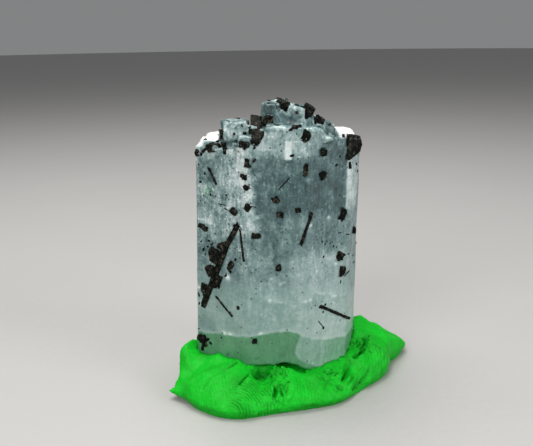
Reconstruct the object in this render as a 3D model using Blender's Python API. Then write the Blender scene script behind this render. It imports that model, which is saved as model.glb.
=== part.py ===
"""Aquamarine crystal, stood upright in a lump of green modelling putty.

The aquamarine is one upright prism with a broken foot, ledges on its faces and a crown of blocky
fragments that grew together. Black tourmaline crystals sit in open pockets in its faces and crown.
The putty is a pressed lump with a flat underside and a seat that follows the crystal's foot.

Frame: +Z is up, -Y is the display side, and the origin is on the table under the prism's axis.
Every size below is in millimetres; new_object turns it into metres.
"""

import math
import random

import bmesh
import bpy
from mathutils import Matrix, Vector, noise

MM = 0.001

# ---- driving dimensions ----

SHOULDER_HEIGHT = 35.7  # top of the prism, under the crown
PRISM_LEAN = 1.0  # degrees the prism leans towards +X in its putty
FOOT_HEIGHT = 4.35  # mean height of the broken foot over the table
SEAT_GAP = 0.25  # between the crystal and its seat in the putty
POCKET_GAP = 0.15  # round each tourmaline in its pocket
GRAIN_SINK = 0.1  # how far below a face the middle of a grain lies
CROWN_TRIM = 0.05  # how far the crown stays inside the prism's faces
BLANK_WIDTH = 40  # width of the block that the prism is cut from
ABOVE_ALL = 50  # a height over the whole specimen
BELOW_ALL = -3  # a height under the whole specimen

# Prism faces, anticlockwise from the front left as seen from above: azimuth of the outward normal in
# degrees, distance from the axis at the foot, and inward slope in degrees.
PRISM_FACES = (
    (-121.0, 10.25, 0.3),
    (-92.0, 9.45, 0.0),
    (-56.0, 10.1, 0.0),
    (-19.0, 11.3, 0.0),
    (9.0, 11.6, 0.0),
    (53.0, 10.1, 0.0),
    (88.0, 9.5, 0.2),
    (128.0, 10.7, 0.3),
    (179.0, 11.8, 0.6),
)
FRONT_LEFT, FRONT, FRONT_RIGHT, RIGHT_EDGE, RIGHT, BACK_RIGHT, BACK, BACK_LEFT, LEFT = range(9)

# Colour, roughness and metallic value of each material.
AQUAMARINE = ("aquamarine", (0.30, 0.43, 0.43), 0.25, 0.0)
TOURMALINE = ("black_tourmaline", (0.022, 0.026, 0.022), 0.35, 0.0)
PUTTY = ("green_putty", (0.02, 0.52, 0.05), 0.6, 0.0)


# ---- scene helpers ----


def clear_scene():
    for obj in list(bpy.data.objects):
        bpy.data.objects.remove(obj)


def new_collection(name, hidden=False):
    collection = bpy.data.collections.new(name)
    collection.hide_render = hidden
    bpy.context.scene.collection.children.link(collection)
    return collection


def new_material(name, colour, roughness, metallic):
    material = bpy.data.materials.get(name) or bpy.data.materials.new(name)
    material.use_nodes = True
    shader = material.node_tree.nodes["Principled BSDF"]
    shader.inputs["Base Color"].default_value = (*colour, 1.0)
    shader.inputs["Roughness"].default_value = roughness
    shader.inputs["Metallic"].default_value = metallic
    return material


def new_object(name, bm, collection, look, place=None, parent=None):
    """Turns a bmesh in millimetres into an object at place, a matrix in millimetres."""
    mesh = bpy.data.meshes.new(name)
    bmesh.ops.scale(bm, vec=(MM, MM, MM), verts=bm.verts)
    bmesh.ops.recalc_face_normals(bm, faces=bm.faces)
    bm.to_mesh(mesh)
    bm.free()
    obj = bpy.data.objects.new(name, mesh)
    collection.objects.link(obj)
    if look is None:
        obj.hide_render = True
        obj.display_type = "WIRE"
    else:
        mesh.materials.append(new_material(*look))
    obj.parent = parent
    if place is not None:
        obj.location = place.translation * MM
        obj.rotation_euler = place.to_euler()
    return obj


def add_boolean(obj, operation, collection):
    boolean = obj.modifiers.new(operation.lower(), "BOOLEAN")
    boolean.operation = operation
    boolean.operand_type = "COLLECTION"
    boolean.collection = collection
    boolean.solver = "EXACT"
    boolean.use_self = True


# ---- shapes ----


def wave_sum(bumps, x, y):
    """Height at a point of a row of round bumps, each given as x, y, width and rise."""
    total = 0.0
    for at_x, at_y, width, rise in bumps:
        total += rise * math.exp(-((x - at_x) ** 2 + (y - at_y) ** 2) / width**2)
    return total


def cut_off(bm, point, normal):
    """Cuts away what lies beyond the plane, and closes the cut with one flat face."""
    geometry = bm.verts[:] + bm.edges[:] + bm.faces[:]
    cut = bmesh.ops.bisect_plane(
        bm, geom=geometry, dist=1e-5, plane_co=point, plane_no=normal, clear_outer=True
    )
    edges = [item for item in cut["geom_cut"] if isinstance(item, bmesh.types.BMEdge)]
    if edges:
        bmesh.ops.edgeloop_fill(bm, edges=edges)


def shard(size, seed, cuts=10, least=0.62, crest=1.0):
    """A broken grain: a block whose corners are cut off by flat faces, size mm along X, Y and Z.

    With a crest below 1 the block narrows towards its top, to that share of its foot.
    """
    chance = random.Random(seed)
    bm = bmesh.new()
    bmesh.ops.create_cube(bm, size=1.0)
    top = [vert for vert in bm.verts if vert.co.z > 0]
    bmesh.ops.scale(bm, vec=(crest, crest, 1.0), verts=top)
    for _ in range(cuts):
        normal = Vector([chance.uniform(-1, 1) for _ in range(3)]).normalized()
        reach = max(vert.co.dot(normal) for vert in bm.verts)
        cut_off(bm, normal * reach * chance.uniform(least, 0.94), normal)
    bmesh.ops.scale(bm, vec=size, verts=bm.verts)
    return bm


def rod(size, sides=6):
    """A straight prismatic crystal, standing along Z, with chisel ends."""
    width, depth, length = size
    bm = bmesh.new()
    bmesh.ops.create_cone(
        bm, cap_ends=True, segments=sides, radius1=0.5, radius2=0.5, depth=1.0
    )
    bmesh.ops.scale(bm, vec=(width, depth, length), verts=bm.verts)
    for end, slope in ((1, 0.5), (-1, -0.35)):
        cut_off(bm, Vector((0, 0, end * (length / 2 - 0.2 * width))), Vector((slope, 0.2, end)))
    return bm


def face_place(face, offset, height, depth=0.0, roll=0.0):
    """A place on a prism face: X runs to the viewer's right along the face, Y into the crystal.

    offset is measured along the face from the point nearest the prism's axis, and depth is how far
    below the face the place lies. A positive roll turns it clockwise as the viewer sees it.
    """
    azimuth, distance, slope = PRISM_FACES[face]
    out = Vector((math.cos(math.radians(azimuth)), math.sin(math.radians(azimuth)), 0))
    along = Vector((-out.y, out.x, 0))
    reach = distance - height * math.tan(math.radians(slope)) - depth
    turn = Matrix.Rotation(math.radians(azimuth + 90), 4, "Z")
    spin = Matrix.Rotation(math.radians(roll), 4, "Y")
    point = out * reach + along * offset + Vector((0, 0, height))
    return Matrix.Translation(point) @ turn @ spin


def needle_place(first, second):
    """A place for a needle that runs between two points given as face, offset and height."""
    ends = [face_place(*values) for values in (first, second)]
    low, high = sorted((end.translation for end in ends), key=lambda point: point.z)
    azimuth = (PRISM_FACES[first[0]][0] + PRISM_FACES[second[0]][0]) / 2
    inward = -Vector((math.cos(math.radians(azimuth)), math.sin(math.radians(azimuth)), 0))
    up = (high - low).normalized()
    side = inward.cross(up).normalized()
    frame = Matrix((side, up.cross(side), up)).transposed().to_4x4()
    return Matrix.Translation((low + high) / 2) @ frame, (high - low).length


def free_place(point, turn=(0, 0, 0)):
    """A place in the crown: a point from the prism's axis, and turns about X, Y and Z in degrees."""
    angles = [Matrix.Rotation(math.radians(a), 4, axis) for a, axis in zip(turn, "XYZ")]
    return Matrix.Translation(Vector(point)) @ angles[2] @ angles[1] @ angles[0]


def prism(bottom, top, grow=0.0):
    """The prism between two heights, with every side face moved out by grow."""
    bm = bmesh.new()
    bmesh.ops.create_cube(bm, size=1.0)
    bmesh.ops.scale(bm, vec=(BLANK_WIDTH, BLANK_WIDTH, top - bottom), verts=bm.verts)
    bmesh.ops.translate(bm, vec=(0, 0, (top + bottom) / 2), verts=bm.verts)
    for azimuth, distance, slope in PRISM_FACES:
        a, s = math.radians(azimuth), math.radians(slope)
        normal = Vector((math.cos(a) * math.cos(s), math.sin(a) * math.cos(s), math.sin(s)))
        cut_off(bm, normal * (distance + grow) * math.cos(s), normal)
    return bm


# ---- aquamarine ----

# Fragments of the crown: centre, size, turn in degrees, seed, crest.
CROWN_FRAGMENTS = (
    ((1.9, -6.6, 36.5), (13.4, 9.6, 4.9), (0, 3, 0), 5, 0.56),
    ((-6.0, -4.9, 36.9), (3.7, 3.9, 4.8), (2, -2, 10), 3, 0.96),
    ((-0.35, -4.7, 39.2), (4.3, 4.4, 5.5), (4, -3, 14), 11, 0.84),
    ((2.2, -4.8, 38.6), (3.4, 4.4, 5.6), (0, 6, -14), 8, 0.85),
    ((4.8, -4.8, 37.6), (5.0, 4.6, 4.4), (0, 24, 8), 21, 0.80),
    ((7.6, -4.2, 36.3), (3.8, 4.2, 3.6), (-4, 14, -8), 13, 0.80),
    ((6.9, -6.6, 35.6), (5.4, 4.6, 3.6), (0, 10, -28), 29, 0.72),
    ((-3.6, -7.2, 35.9), (4.6, 3.6, 3.0), (-10, 4, 8), 17, 0.85),
    ((-8.9, -4.3, 35.4), (3.6, 2.8, 1.9), (0, 4, 24), 31, 0.85),
    ((0.9, -0.8, 36.6), (8.4, 5.6, 5.0), (8, 3, -14), 37, 0.70),
    ((-3.9, 0.9, 36.0), (4.6, 4.4, 2.6), (-8, -6, 25), 41, 0.80),
    ((5.6, 1.6, 35.9), (4.6, 3.8, 2.4), (6, 8, -30), 43, 0.80),
    ((6.4, 4.4, 35.7), (9.0, 8.6, 1.7), (-2, 1, -12), 47, 0.90),
    ((-6.2, 4.8, 35.3), (8.6, 7.0, 1.5), (2, -2, 18), 49, 0.88),
)

# Growth ledges that stand proud of a face: face, left and right offset, bottom, top, rise.
LEDGES = (
    (FRONT_LEFT, -0.6, 1.15, 24.4, 35.2, 0.16),
    (FRONT, 0.80, 1.85, 34.2, 35.6, 0.22),
    (RIGHT_EDGE, -1.2, 2.6, 27.4, 34.8, 0.20),
    (RIGHT, -1.7, 1.6, 12.0, 24.0, 0.16),
    (BACK_RIGHT, -4.9, -1.6, 16.0, 33.5, 0.18),
    (BACK_RIGHT, 0.1, 1.6, 9.5, 27.0, 0.12),
    (BACK, -2.6, 1.2, 20.0, 34.8, 0.16),
    (BACK, 2.2, 4.5, 10.0, 25.0, 0.20),
    (BACK_LEFT, -0.4, 2.7, 14.0, 34.0, 0.14),
    (LEFT, -3.6, -0.6, 11.0, 29.0, 0.18),
    (LEFT, 0.6, 3.9, 22.0, 34.4, 0.12),
)

# Chips broken out of the prism: centre, size, turn, seed.
CHIPS = (
    ((-12.4, -4.8, 15.2), (1.5, 1.9, 2.2), (0, 15, 30), 51),
    ((11.0, -4.9, 27.2), (1.5, 1.6, 1.8), (10, 0, 30), 53),
    ((-12.6, 4.9, 30.5), (2.0, 2.0, 3.4), (0, 20, 45), 55),
    ((12.6, 4.6, 35.2), (2.6, 2.6, 3.0), (0, 35, 45), 57),
    ((-5.4, 10.9, 34.8), (3.2, 2.0, 3.0), (35, 0, 20), 59),
    ((4.8, 10.6, 19.0), (1.5, 1.5, 3.2), (0, 0, 25), 61),
    ((-12.6, -4.2, 36.2), (1.4, 4.0, 1.5), (0, 35, 0), 63),
)

# The broken foot in waves: height at the axis, its fall towards +X, and a hollow at the front.
FOOT_FALL = 0.13  # mm a millimetre
FOOT_NOTCH = (1.6, -9.6, 2.2, 1.4)  # x, y, width and height of the hollow
FOOT_LOBES = ((-10.0, -6.0, 4.5, -1.6), (7.6, -7.5, 2.5, 0.35), (-2.6, -9.4, 1.6, 0.2))


def foot_level(x, y, notch=True):
    """Height of the crystal's broken underside."""
    bumps = FOOT_LOBES + ((FOOT_NOTCH,) if notch else ())
    return FOOT_HEIGHT - FOOT_FALL * x + wave_sum(bumps, x, y)


def foot_cutter(notch, drop=0.0):
    """A block whose wavy top is the surface that the foot broke off along."""
    bm = bmesh.new()
    bmesh.ops.create_grid(bm, x_segments=15, y_segments=12, size=1.0)
    bmesh.ops.scale(bm, vec=(14.0, 12.0, 1.0), verts=bm.verts)
    for vert in bm.verts:
        vert.co.z = foot_level(vert.co.x, vert.co.y, notch) - drop
    skirt = bmesh.ops.extrude_face_region(bm, geom=bm.faces[:])
    for item in skirt["geom"]:
        if isinstance(item, bmesh.types.BMVert):
            item.co.z = BELOW_ALL
    bmesh.ops.triangulate(bm, faces=bm.faces)
    return bm


def ledge(face, left, right, bottom, top, rise):
    """A slab half sunk in its face, proud at its slanting foot and flush with the face at its top."""
    bm = bmesh.new()
    bmesh.ops.create_cube(bm, size=1.0)
    bmesh.ops.scale(bm, vec=(right - left, 2 * rise, top - bottom), verts=bm.verts)
    for vert in bm.verts:
        if vert.co.z > 0:
            vert.co.y += rise * 1.02
            vert.co.x *= 0.8
        elif vert.co.x > 0:
            vert.co.z += 0.35 * (right - left)
    return bm, face_place(face, (left + right) / 2, (top + bottom) / 2)


def make_crown(grown, axis):
    """The fragments of the crown as one solid, kept inside the prism's faces."""
    fragments = new_collection("crown_fragments", hidden=True)
    trim = new_collection("crown_trim", hidden=True)
    crown = None
    for centre, size, turn, seed, crest in CROWN_FRAGMENTS:
        bm = shard(size, seed, cuts=8, least=0.82, crest=crest)
        home = grown if crown is None else fragments
        piece = new_object(f"fragment_{seed}", bm, home, None, free_place(centre, turn), axis)
        crown = crown or piece
    new_object("trim_prism", prism(0, ABOVE_ALL, -CROWN_TRIM), trim, None, None, axis)
    add_boolean(crown, "UNION", fragments)
    add_boolean(crown, "INTERSECT", trim)


def make_aquamarine(body, axis, pockets):
    grown = new_collection("aquamarine_additions", hidden=True)
    broken = new_collection("aquamarine_breaks", hidden=True)
    make_crown(grown, axis)
    for number, values in enumerate(LEDGES):
        bm, place = ledge(*values)
        new_object(f"ledge_{number}", bm, grown, None, place, axis)
    for centre, size, turn, seed in CHIPS:
        bm = shard(size, seed, cuts=5)
        new_object(f"chip_{seed}", bm, broken, None, free_place(centre, turn), axis)
    new_object("foot_cutter", foot_cutter(notch=True), broken, None, None, axis)
    crystal = new_object(
        "aquamarine_crystal", prism(0, SHOULDER_HEIGHT), body, AQUAMARINE, None, axis
    )
    add_boolean(crystal, "UNION", grown)
    add_boolean(crystal, "DIFFERENCE", broken)
    add_boolean(crystal, "DIFFERENCE", pockets)
    return crystal


# ---- tourmaline ----

# The long rod on the front left face: the two ends of each length of it, width and depth.
ROD_LENGTHS = (
    ((FRONT_LEFT, -2.15, 22.6), (FRONT_LEFT, -6.50, 12.3), 0.95, 1.1),
    ((FRONT_LEFT, -0.25, 25.7), (FRONT_LEFT, -2.50, 21.8), 0.80, 0.9),
)
# Grains that grew together with the rod: offset, height, size, roll, seed.
ROD_GRAINS = (
    (-4.40, 20.45, (2.1, 1.4, 2.0), 15, 71),
    (-5.05, 18.05, (1.8, 1.3, 1.7), -20, 72),
    (-2.95, 21.95, (1.5, 1.1, 1.2), 40, 73),
    (-4.00, 16.60, (1.2, 1.0, 2.1), 23, 74),
    (-6.15, 15.10, (1.1, 0.9, 1.5), 10, 75),
)

# Needles on the faces: their two ends, width and depth.
NEEDLES = (
    ((FRONT_RIGHT, -1.45, 27.5), (FRONT, 3.30, 22.8), 0.50, 0.9),
    ((FRONT_RIGHT, -0.13, 13.5), (FRONT_RIGHT, 5.10, 9.7), 0.50, 0.7),
    ((FRONT_LEFT, -0.11, 24.9), (FRONT_LEFT, 0.49, 20.3), 0.32, 0.5),
    ((FRONT_LEFT, -5.25, 33.0), (FRONT_LEFT, -3.90, 30.6), 0.32, 0.5),
    ((FRONT_LEFT, -4.30, 14.3), (FRONT_LEFT, -1.40, 11.7), 0.32, 0.5),
    ((BACK, 0.4, 18.4), (BACK, -2.5, 11.8), 0.80, 0.9),
    ((RIGHT, -1.2, 20.3), (RIGHT, 1.5, 16.8), 0.60, 0.8),
)

# Single grains on the faces: face, offset, height, size, roll, seed.
FACE_GRAINS = (
    (FRONT_RIGHT, 0.33, 35.4, (0.88, 0.90, 1.04), 0, 101),
    (FRONT_RIGHT, 0.26, 32.4, (1.08, 0.99, 0.96), 60, 102),
    (FRONT, 3.80, 33.3, (0.72, 0.99, 1.76), 5, 103),
    (FRONT_LEFT, 1.05, 34.2, (0.80, 0.81, 1.20), -10, 104),
    (FRONT_LEFT, 0.60, 32.2, (0.80, 0.81, 0.72), 0, 105),
    (FRONT_LEFT, 0.85, 30.8, (0.88, 0.81, 0.72), 20, 106),
    (FRONT, -0.14, 29.2, (0.96, 0.90, 0.88), -30, 107),
    (FRONT, 0.47, 27.1, (0.92, 0.90, 0.80), 0, 108),
    (FRONT_LEFT, -1.17, 27.3, (1.20, 0.99, 0.84), 30, 109),
    (FRONT_LEFT, 1.10, 28.0, (0.88, 0.81, 0.96), 40, 110),
    (FRONT, 2.9, 27.8, (0.72, 0.80, 0.64), 0, 111),
    (FRONT_RIGHT, 4.1, 26.4, (1.08, 0.90, 1.76), 20, 112),
    (RIGHT_EDGE, 0.9, 23.1, (0.72, 0.90, 1.20), -15, 113),
    (FRONT_LEFT, -6.3, 24.3, (1.60, 0.81, 0.72), 20, 114),
    (FRONT, -2.75, 24.1, (1.28, 0.90, 0.80), 10, 115),
    (FRONT, 0.28, 19.6, (0.80, 0.90, 0.96), 0, 116),
    (FRONT_RIGHT, 3.71, 20.3, (1.20, 0.99, 1.28), 30, 117),
    (FRONT_RIGHT, 4.25, 17.9, (0.88, 0.81, 1.44), 10, 118),
    (FRONT_LEFT, -6.7, 7.1, (1.36, 1.08, 1.44), -10, 119),
    (FRONT, -3.0, 8.6, (0.72, 0.81, 0.72), 0, 120),
    (FRONT_LEFT, -1.75, 19.3, (0.88, 0.81, 1.52), 35, 121),
    (BACK, 2.6, 28.6, (1.28, 1.08, 1.04), 20, 131),
    (BACK, -2.2, 31.6, (0.88, 0.90, 1.20), -15, 132),
    (BACK_RIGHT, -1.8, 24.0, (1.20, 1.08, 0.88), 35, 133),
    (BACK_RIGHT, -3.4, 14.2, (0.88, 0.90, 1.44), 10, 134),
    (BACK_LEFT, 1.5, 21.4, (1.04, 0.99, 1.36), -30, 135),
    (BACK_LEFT, 3.6, 30.2, (1.36, 1.08, 0.88), 15, 136),
    (LEFT, 0.4, 17.6, (1.12, 0.99, 1.12), 0, 137),
    (LEFT, -1.9, 31.4, (1.28, 0.99, 0.96), 30, 138),
    (RIGHT, 0.3, 29.4, (1.04, 0.99, 1.20), -20, 139),
)

# Grains in the crown: name, centre, size, turn, seed.
CROWN_GRAINS = (
    ("summit", (0.35, -5.2, 41.3), (2.2, 2.4, 1.6), (8, 5, 20), 151),
    ("ridge_high", (3.8, -5.4, 40.6), (1.9, 2.4, 2.0), (0, 30, -8), 152),
    ("ridge_middle", (5.3, -5.4, 39.3), (1.25, 2.0, 1.4), (0, 36, 2), 153),
    ("ridge_low", (6.2, -5.2, 38.0), (1.1, 2.2, 1.8), (0, 30, 0), 154),
    ("crown_left", (-1.6, -6.95, 39.5), (1.8, 1.2, 1.7), (0, 0, 14), 155),
    ("crown_slab", (-3.1, -5.7, 38.3), (1.55, 1.7, 6.2), (-60, 0, 2), 156),
    ("crown_rim", (-5.4, -8.5, 36.4), (2.6, 1.2, 1.0), (10, 8, 6), 158),
    ("rim_middle", (-7.4, -6.5, 35.9), (0.9, 1.2, 1.3), (0, 0, 30), 159),
    ("rim_left", (-9.1, -5.8, 35.6), (2.1, 1.3, 1.2), (0, -8, -26), 160),
    ("rim_corner", (-10.95, -4.6, 34.8), (1.1, 1.1, 1.0), (0, 0, -26), 167),
    ("block_side", (-8.0, -4.4, 37.1), (0.9, 2.4, 1.7), (0, 0, 10), 161),
    ("wedge", (3.5, -9.1, 37.9), (1.3, 1.0, 1.9), (0, 25, 0), 162),
    ("crown_scar", (1.6, -8.8, 38.8), (2.4, 1.2, 1.0), (0, -8, 4), 163),
    ("shoulder", (10.1, -4.6, 35.6), (2.2, 2.6, 3.4), (0, 8, 20), 164),
    ("back_crown", (2.2, 1.9, 38.6), (1.8, 1.5, 1.3), (0, 10, 30), 165),
    ("back_rim", (-6.3, 4.4, 35.8), (2.0, 1.5, 1.1), (0, 0, -25), 166),
)


def make_grain(name, size, seed, place, body, pockets, axis):
    """A grain, and the cutter of its pocket: the same shape grown by the gap."""
    wide = tuple(value + 2 * POCKET_GAP for value in size)
    new_object(f"pocket_{name}", shard(wide, seed), pockets, None, place, axis)
    return new_object(name, shard(size, seed), body, TOURMALINE, place, axis)


def make_needle(name, first, second, width, depth, body, pockets, axis):
    """A needle between two points, and the cutter of the groove that it lies in."""
    place, length = needle_place(first, second)
    wide = (width + 2 * POCKET_GAP, depth + 2 * POCKET_GAP, length + 2 * POCKET_GAP)
    new_object(f"pocket_{name}", rod(wide), pockets, None, place, axis)
    return new_object(name, rod((width, depth, length)), body, TOURMALINE, place, axis)


def make_rod_cluster(body, pockets, axis):
    """The long rod and the grains on it, joined into one solid."""
    members = new_collection("rod_members", hidden=True)
    cluster = make_needle("tourmaline_rod", *ROD_LENGTHS[0], body, pockets, axis)
    joined = [make_needle("rod_upper", *ROD_LENGTHS[1], members, pockets, axis)]
    for offset, height, size, roll, seed in ROD_GRAINS:
        place = face_place(FRONT_LEFT, offset, height, GRAIN_SINK, roll)
        name = f"rod_grain_{seed}"
        joined.append(make_grain(name, size, seed, place, members, pockets, axis))
    for member in joined:
        member.hide_render = True
        member.display_type = "WIRE"
    add_boolean(cluster, "UNION", members)


def make_tourmaline(body, pockets, axis):
    make_rod_cluster(body, pockets, axis)
    for number, values in enumerate(NEEDLES, 1):
        make_needle(f"tourmaline_needle_{number}", *values, body, pockets, axis)
    for number, (face, offset, height, size, roll, seed) in enumerate(FACE_GRAINS, 1):
        place = face_place(face, offset, height, GRAIN_SINK, roll)
        name = f"tourmaline_grain_{number:02d}"
        make_grain(name, size, seed, place, body, pockets, axis)
    for name, centre, size, turn, seed in CROWN_GRAINS:
        place = free_place(centre, turn)
        make_grain(f"tourmaline_{name}", size, seed, place, body, pockets, axis)


# ---- putty ----

# Outline of the lump on the table: points in order round it, from the pinched tip at the left.
PUTTY_OUTLINE = (
    (-16.4, -7.6), (-14.2, -8.8), (-12.4, -12.6), (-9.2, -15.3), (-6.3, -16.6), (-3.5, -16.0),
    (0.2, -14.9), (4.5, -13.9), (8.9, -12.5), (11.0, -10.2), (14.0, -7.0), (17.0, -3.8),
    (17.6, 0.9), (20.2, 3.2), (21.7, 4.6), (20.6, 7.4), (16.6, 10.6), (10.6, 12.8), (3.6, 14.0),
    (-4.0, 14.1), (-10.0, 12.2), (-13.2, 8.2), (-14.3, 2.6), (-14.3, -3.4), (-14.6, -6.4),
)
# Height of the rim against the crystal, by azimuth in degrees.
PUTTY_RIM = (
    (-180, 5.4), (-171, 6.9), (-163, 6.2), (-157, 5.0), (-148, 5.4), (-121, 5.9), (-110, 5.4),
    (-102, 4.6), (-92, 4.8), (-60, 4.3), (-40, 4.7), (-25, 6.4), (-5, 8.4), (12, 7.8), (30, 6.2),
    (60, 5.8), (95, 5.9), (140, 5.0), (165, 4.0), (180, 5.4),
)
# Bumps and hollows pressed into it: x, y, width and rise.
PUTTY_BUMPS = (
    (-2.6, -10.6, 1.3, -1.7),
    (-9.5, -11.5, 3.0, 0.5),
    (8.6, -10.6, 1.3, -0.8),
    (13.2, -3.6, 1.3, -1.3),
    (15.9, -3.2, 1.5, 1.1),
    (14.2, 1.2, 1.2, -0.9),
    (-13.5, -5.6, 2.3, 2.3),
    (-13.2, -3.6, 1.7, 1.4),
    (20.8, 5.6, 3.6, -2.4),
    (4.0, 12.0, 2.4, 0.6),
    (-5.5, 11.6, 1.6, -0.7),
)
PUTTY_SIDES = 66  # divisions round the lump
PUTTY_RINGS = 26  # divisions from pole to pole
PUTTY_CORE = 6.0  # radius of the level middle, inside the seat
PUTTY_UNDERCUT = 0.3  # how far the contact with the table lies inside the outline
PUTTY_BULGE = 0.35  # how far the side swells out over its foot
PUTTY_LUMPS = ((0.32, 1.1), (0.9, 0.35))  # waves a millimetre and height of its unevenness
# Shares of the way from the edge to the top, 0 to 1: where the steep side ends, the part of the rest
# that slopes up to the core, and where the rim reaches its full height.
SIDE_END, SLOPE_PART, RIM_END = 0.12, 0.6, 0.62
RIM_ROUNDNESS = 2.3  # power of the curve from the table up to the rim


def smooth_between(table, angle):
    """Reads a table of (angle, value) at an angle, with a smooth step between its entries."""
    for (low, first), (high, second) in zip(table, table[1:]):
        if low <= angle <= high:
            share = (angle - low) / (high - low)
            share = share * share * (3 - 2 * share)
            return first + (second - first) * share
    return table[-1][1]


def outline_reach(angle):
    """Distance from the prism's axis to the outline, along an azimuth in degrees."""
    out = Vector((math.cos(math.radians(angle)), math.sin(math.radians(angle))))
    side = Vector((-out.y, out.x))
    best = 0.0
    corners = [Vector(point) for point in PUTTY_OUTLINE]
    for first, second in zip(corners, corners[1:] + corners[:1]):
        low, high = first.dot(side), second.dot(side)
        if min(low, high) <= 0 <= max(low, high) and low != high:
            share = low / (low - high)
            best = max(best, (first + (second - first) * share).dot(out))
    return best


def putty_point(angle, level):
    """A point of the lump's surface: level -1 is the underside's middle, 0 the edge, 1 the top."""
    steps = (-4, 0, 4)
    reach = sum(outline_reach((angle + s + 180) % 360 - 180) for s in steps) / len(steps)
    out = Vector((math.cos(math.radians(angle)), math.sin(math.radians(angle)), 0))
    if level <= 0:
        return out * (reach - PUTTY_UNDERCUT) * (1 + level)
    inward = max(0.0, level - SIDE_END) / (1 - SIDE_END)
    up_slope = min(1.0, inward / SLOPE_PART)
    over_core = max(0.0, inward - SLOPE_PART) / (1 - SLOPE_PART)
    radius = (reach + (PUTTY_CORE - reach) * up_slope) * (1 - over_core)
    bulge = PUTTY_BULGE * math.sin(math.pi * min(1.0, level / (2 * SIDE_END)))
    point = out * (radius + bulge)
    climb = 1 - min(1.0, level / RIM_END)
    point.z = smooth_between(PUTTY_RIM, angle) * (1 - climb**RIM_ROUNDNESS)
    lump = sum(noise.noise(point * waves) * height for waves, height in PUTTY_LUMPS)
    pressed = wave_sum(PUTTY_BUMPS, point.x, point.y)
    shown = min(1.0, level / (2 * SIDE_END))
    point.z = max(point.z + (lump + pressed) * shown, PUTTY_UNDERCUT * shown)
    return point + out * lump * 0.5 * shown * (1 - up_slope)


def make_putty(body, seats, pockets):
    bm = bmesh.new()
    bmesh.ops.create_uvsphere(bm, u_segments=PUTTY_SIDES, v_segments=PUTTY_RINGS, radius=1.0)
    for vert in bm.verts:
        angle = math.degrees(math.atan2(vert.co.y, vert.co.x))
        level = math.asin(max(-1.0, min(1.0, vert.co.z))) / (math.pi / 2)
        vert.co = putty_point(angle, level)
    bmesh.ops.triangulate(bm, faces=bm.faces)
    putty = new_object("putty_base", bm, body, PUTTY)
    add_boolean(putty, "DIFFERENCE", seats)
    add_boolean(putty, "DIFFERENCE", pockets)
    return putty


def make_seat(seats, axis):
    """The cutter of the seat: the prism grown by the gap, down to the foot without its hollow."""
    under = new_collection("seat_breaks", hidden=True)
    foot = foot_cutter(notch=False, drop=SEAT_GAP)
    new_object("seat_foot", foot, under, None, None, axis)
    seat = new_object("seat_cutter", prism(0, ABOVE_ALL, SEAT_GAP), seats, None, None, axis)
    add_boolean(seat, "DIFFERENCE", under)


def main():
    clear_scene()
    body = new_collection("aquamarine_in_putty")
    pockets = new_collection("pockets", hidden=True)
    seats = new_collection("seats", hidden=True)
    axis = bpy.data.objects.new("prism_axis", None)
    axis.rotation_euler.y = math.radians(PRISM_LEAN)
    body.objects.link(axis)
    make_tourmaline(body, pockets, axis)
    make_aquamarine(body, axis, pockets)
    make_seat(seats, axis)
    make_putty(body, seats, pockets)


main()
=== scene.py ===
"""The looks of an aquamarine crystal with black tourmaline, stood in a lump of green modelling putty.

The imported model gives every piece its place, and this script gives each one its surface. Meshes are
shaped in millimetres and turned into metres when they are finished. +Z is up and -Y is the display
side.
"""

import math
import random

import bmesh
import bpy
from mathutils import Matrix, Vector, noise
from mathutils.bvhtree import BVHTree


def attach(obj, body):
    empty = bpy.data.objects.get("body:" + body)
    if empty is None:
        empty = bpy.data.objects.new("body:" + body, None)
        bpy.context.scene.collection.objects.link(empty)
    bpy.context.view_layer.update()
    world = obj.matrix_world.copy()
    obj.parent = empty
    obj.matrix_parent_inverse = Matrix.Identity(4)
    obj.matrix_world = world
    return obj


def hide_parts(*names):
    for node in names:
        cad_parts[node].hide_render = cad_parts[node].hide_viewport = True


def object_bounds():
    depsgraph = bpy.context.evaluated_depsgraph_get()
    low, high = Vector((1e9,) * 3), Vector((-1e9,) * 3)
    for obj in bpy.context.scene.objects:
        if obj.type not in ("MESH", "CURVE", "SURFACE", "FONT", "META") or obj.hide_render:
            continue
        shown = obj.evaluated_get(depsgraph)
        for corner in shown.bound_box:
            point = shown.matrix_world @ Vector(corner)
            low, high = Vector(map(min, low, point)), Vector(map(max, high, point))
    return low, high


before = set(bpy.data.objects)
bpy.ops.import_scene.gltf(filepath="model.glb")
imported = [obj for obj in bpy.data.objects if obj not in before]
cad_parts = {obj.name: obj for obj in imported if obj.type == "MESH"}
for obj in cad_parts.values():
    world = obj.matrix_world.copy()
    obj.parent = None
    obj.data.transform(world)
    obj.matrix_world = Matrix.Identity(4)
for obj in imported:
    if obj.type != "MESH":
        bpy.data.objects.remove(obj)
cad_low, cad_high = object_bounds()


# ---- Studio ----
# The specimen stands on a plain pale table top and is seen from a little above its display side.
# A wide soft light hangs over it, and two weaker ones light its front from the left and the right.

# The camera's rise above the front and its roll, its distance and the point it looks at in metres.
VIEW_RISE = math.radians(15.0)
VIEW_ROLL = math.radians(-0.8)
VIEW_DISTANCE = 0.1121
VIEW_TARGET = Vector((-0.00123, 0.0017, 0.023))
SENSOR_MM = 36.0
FOCAL_LENGTH_MM = 49.98
SKY_COLOUR = (0.86, 0.87, 0.88, 1.0)
SKY_STRENGTH = 0.26

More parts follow.
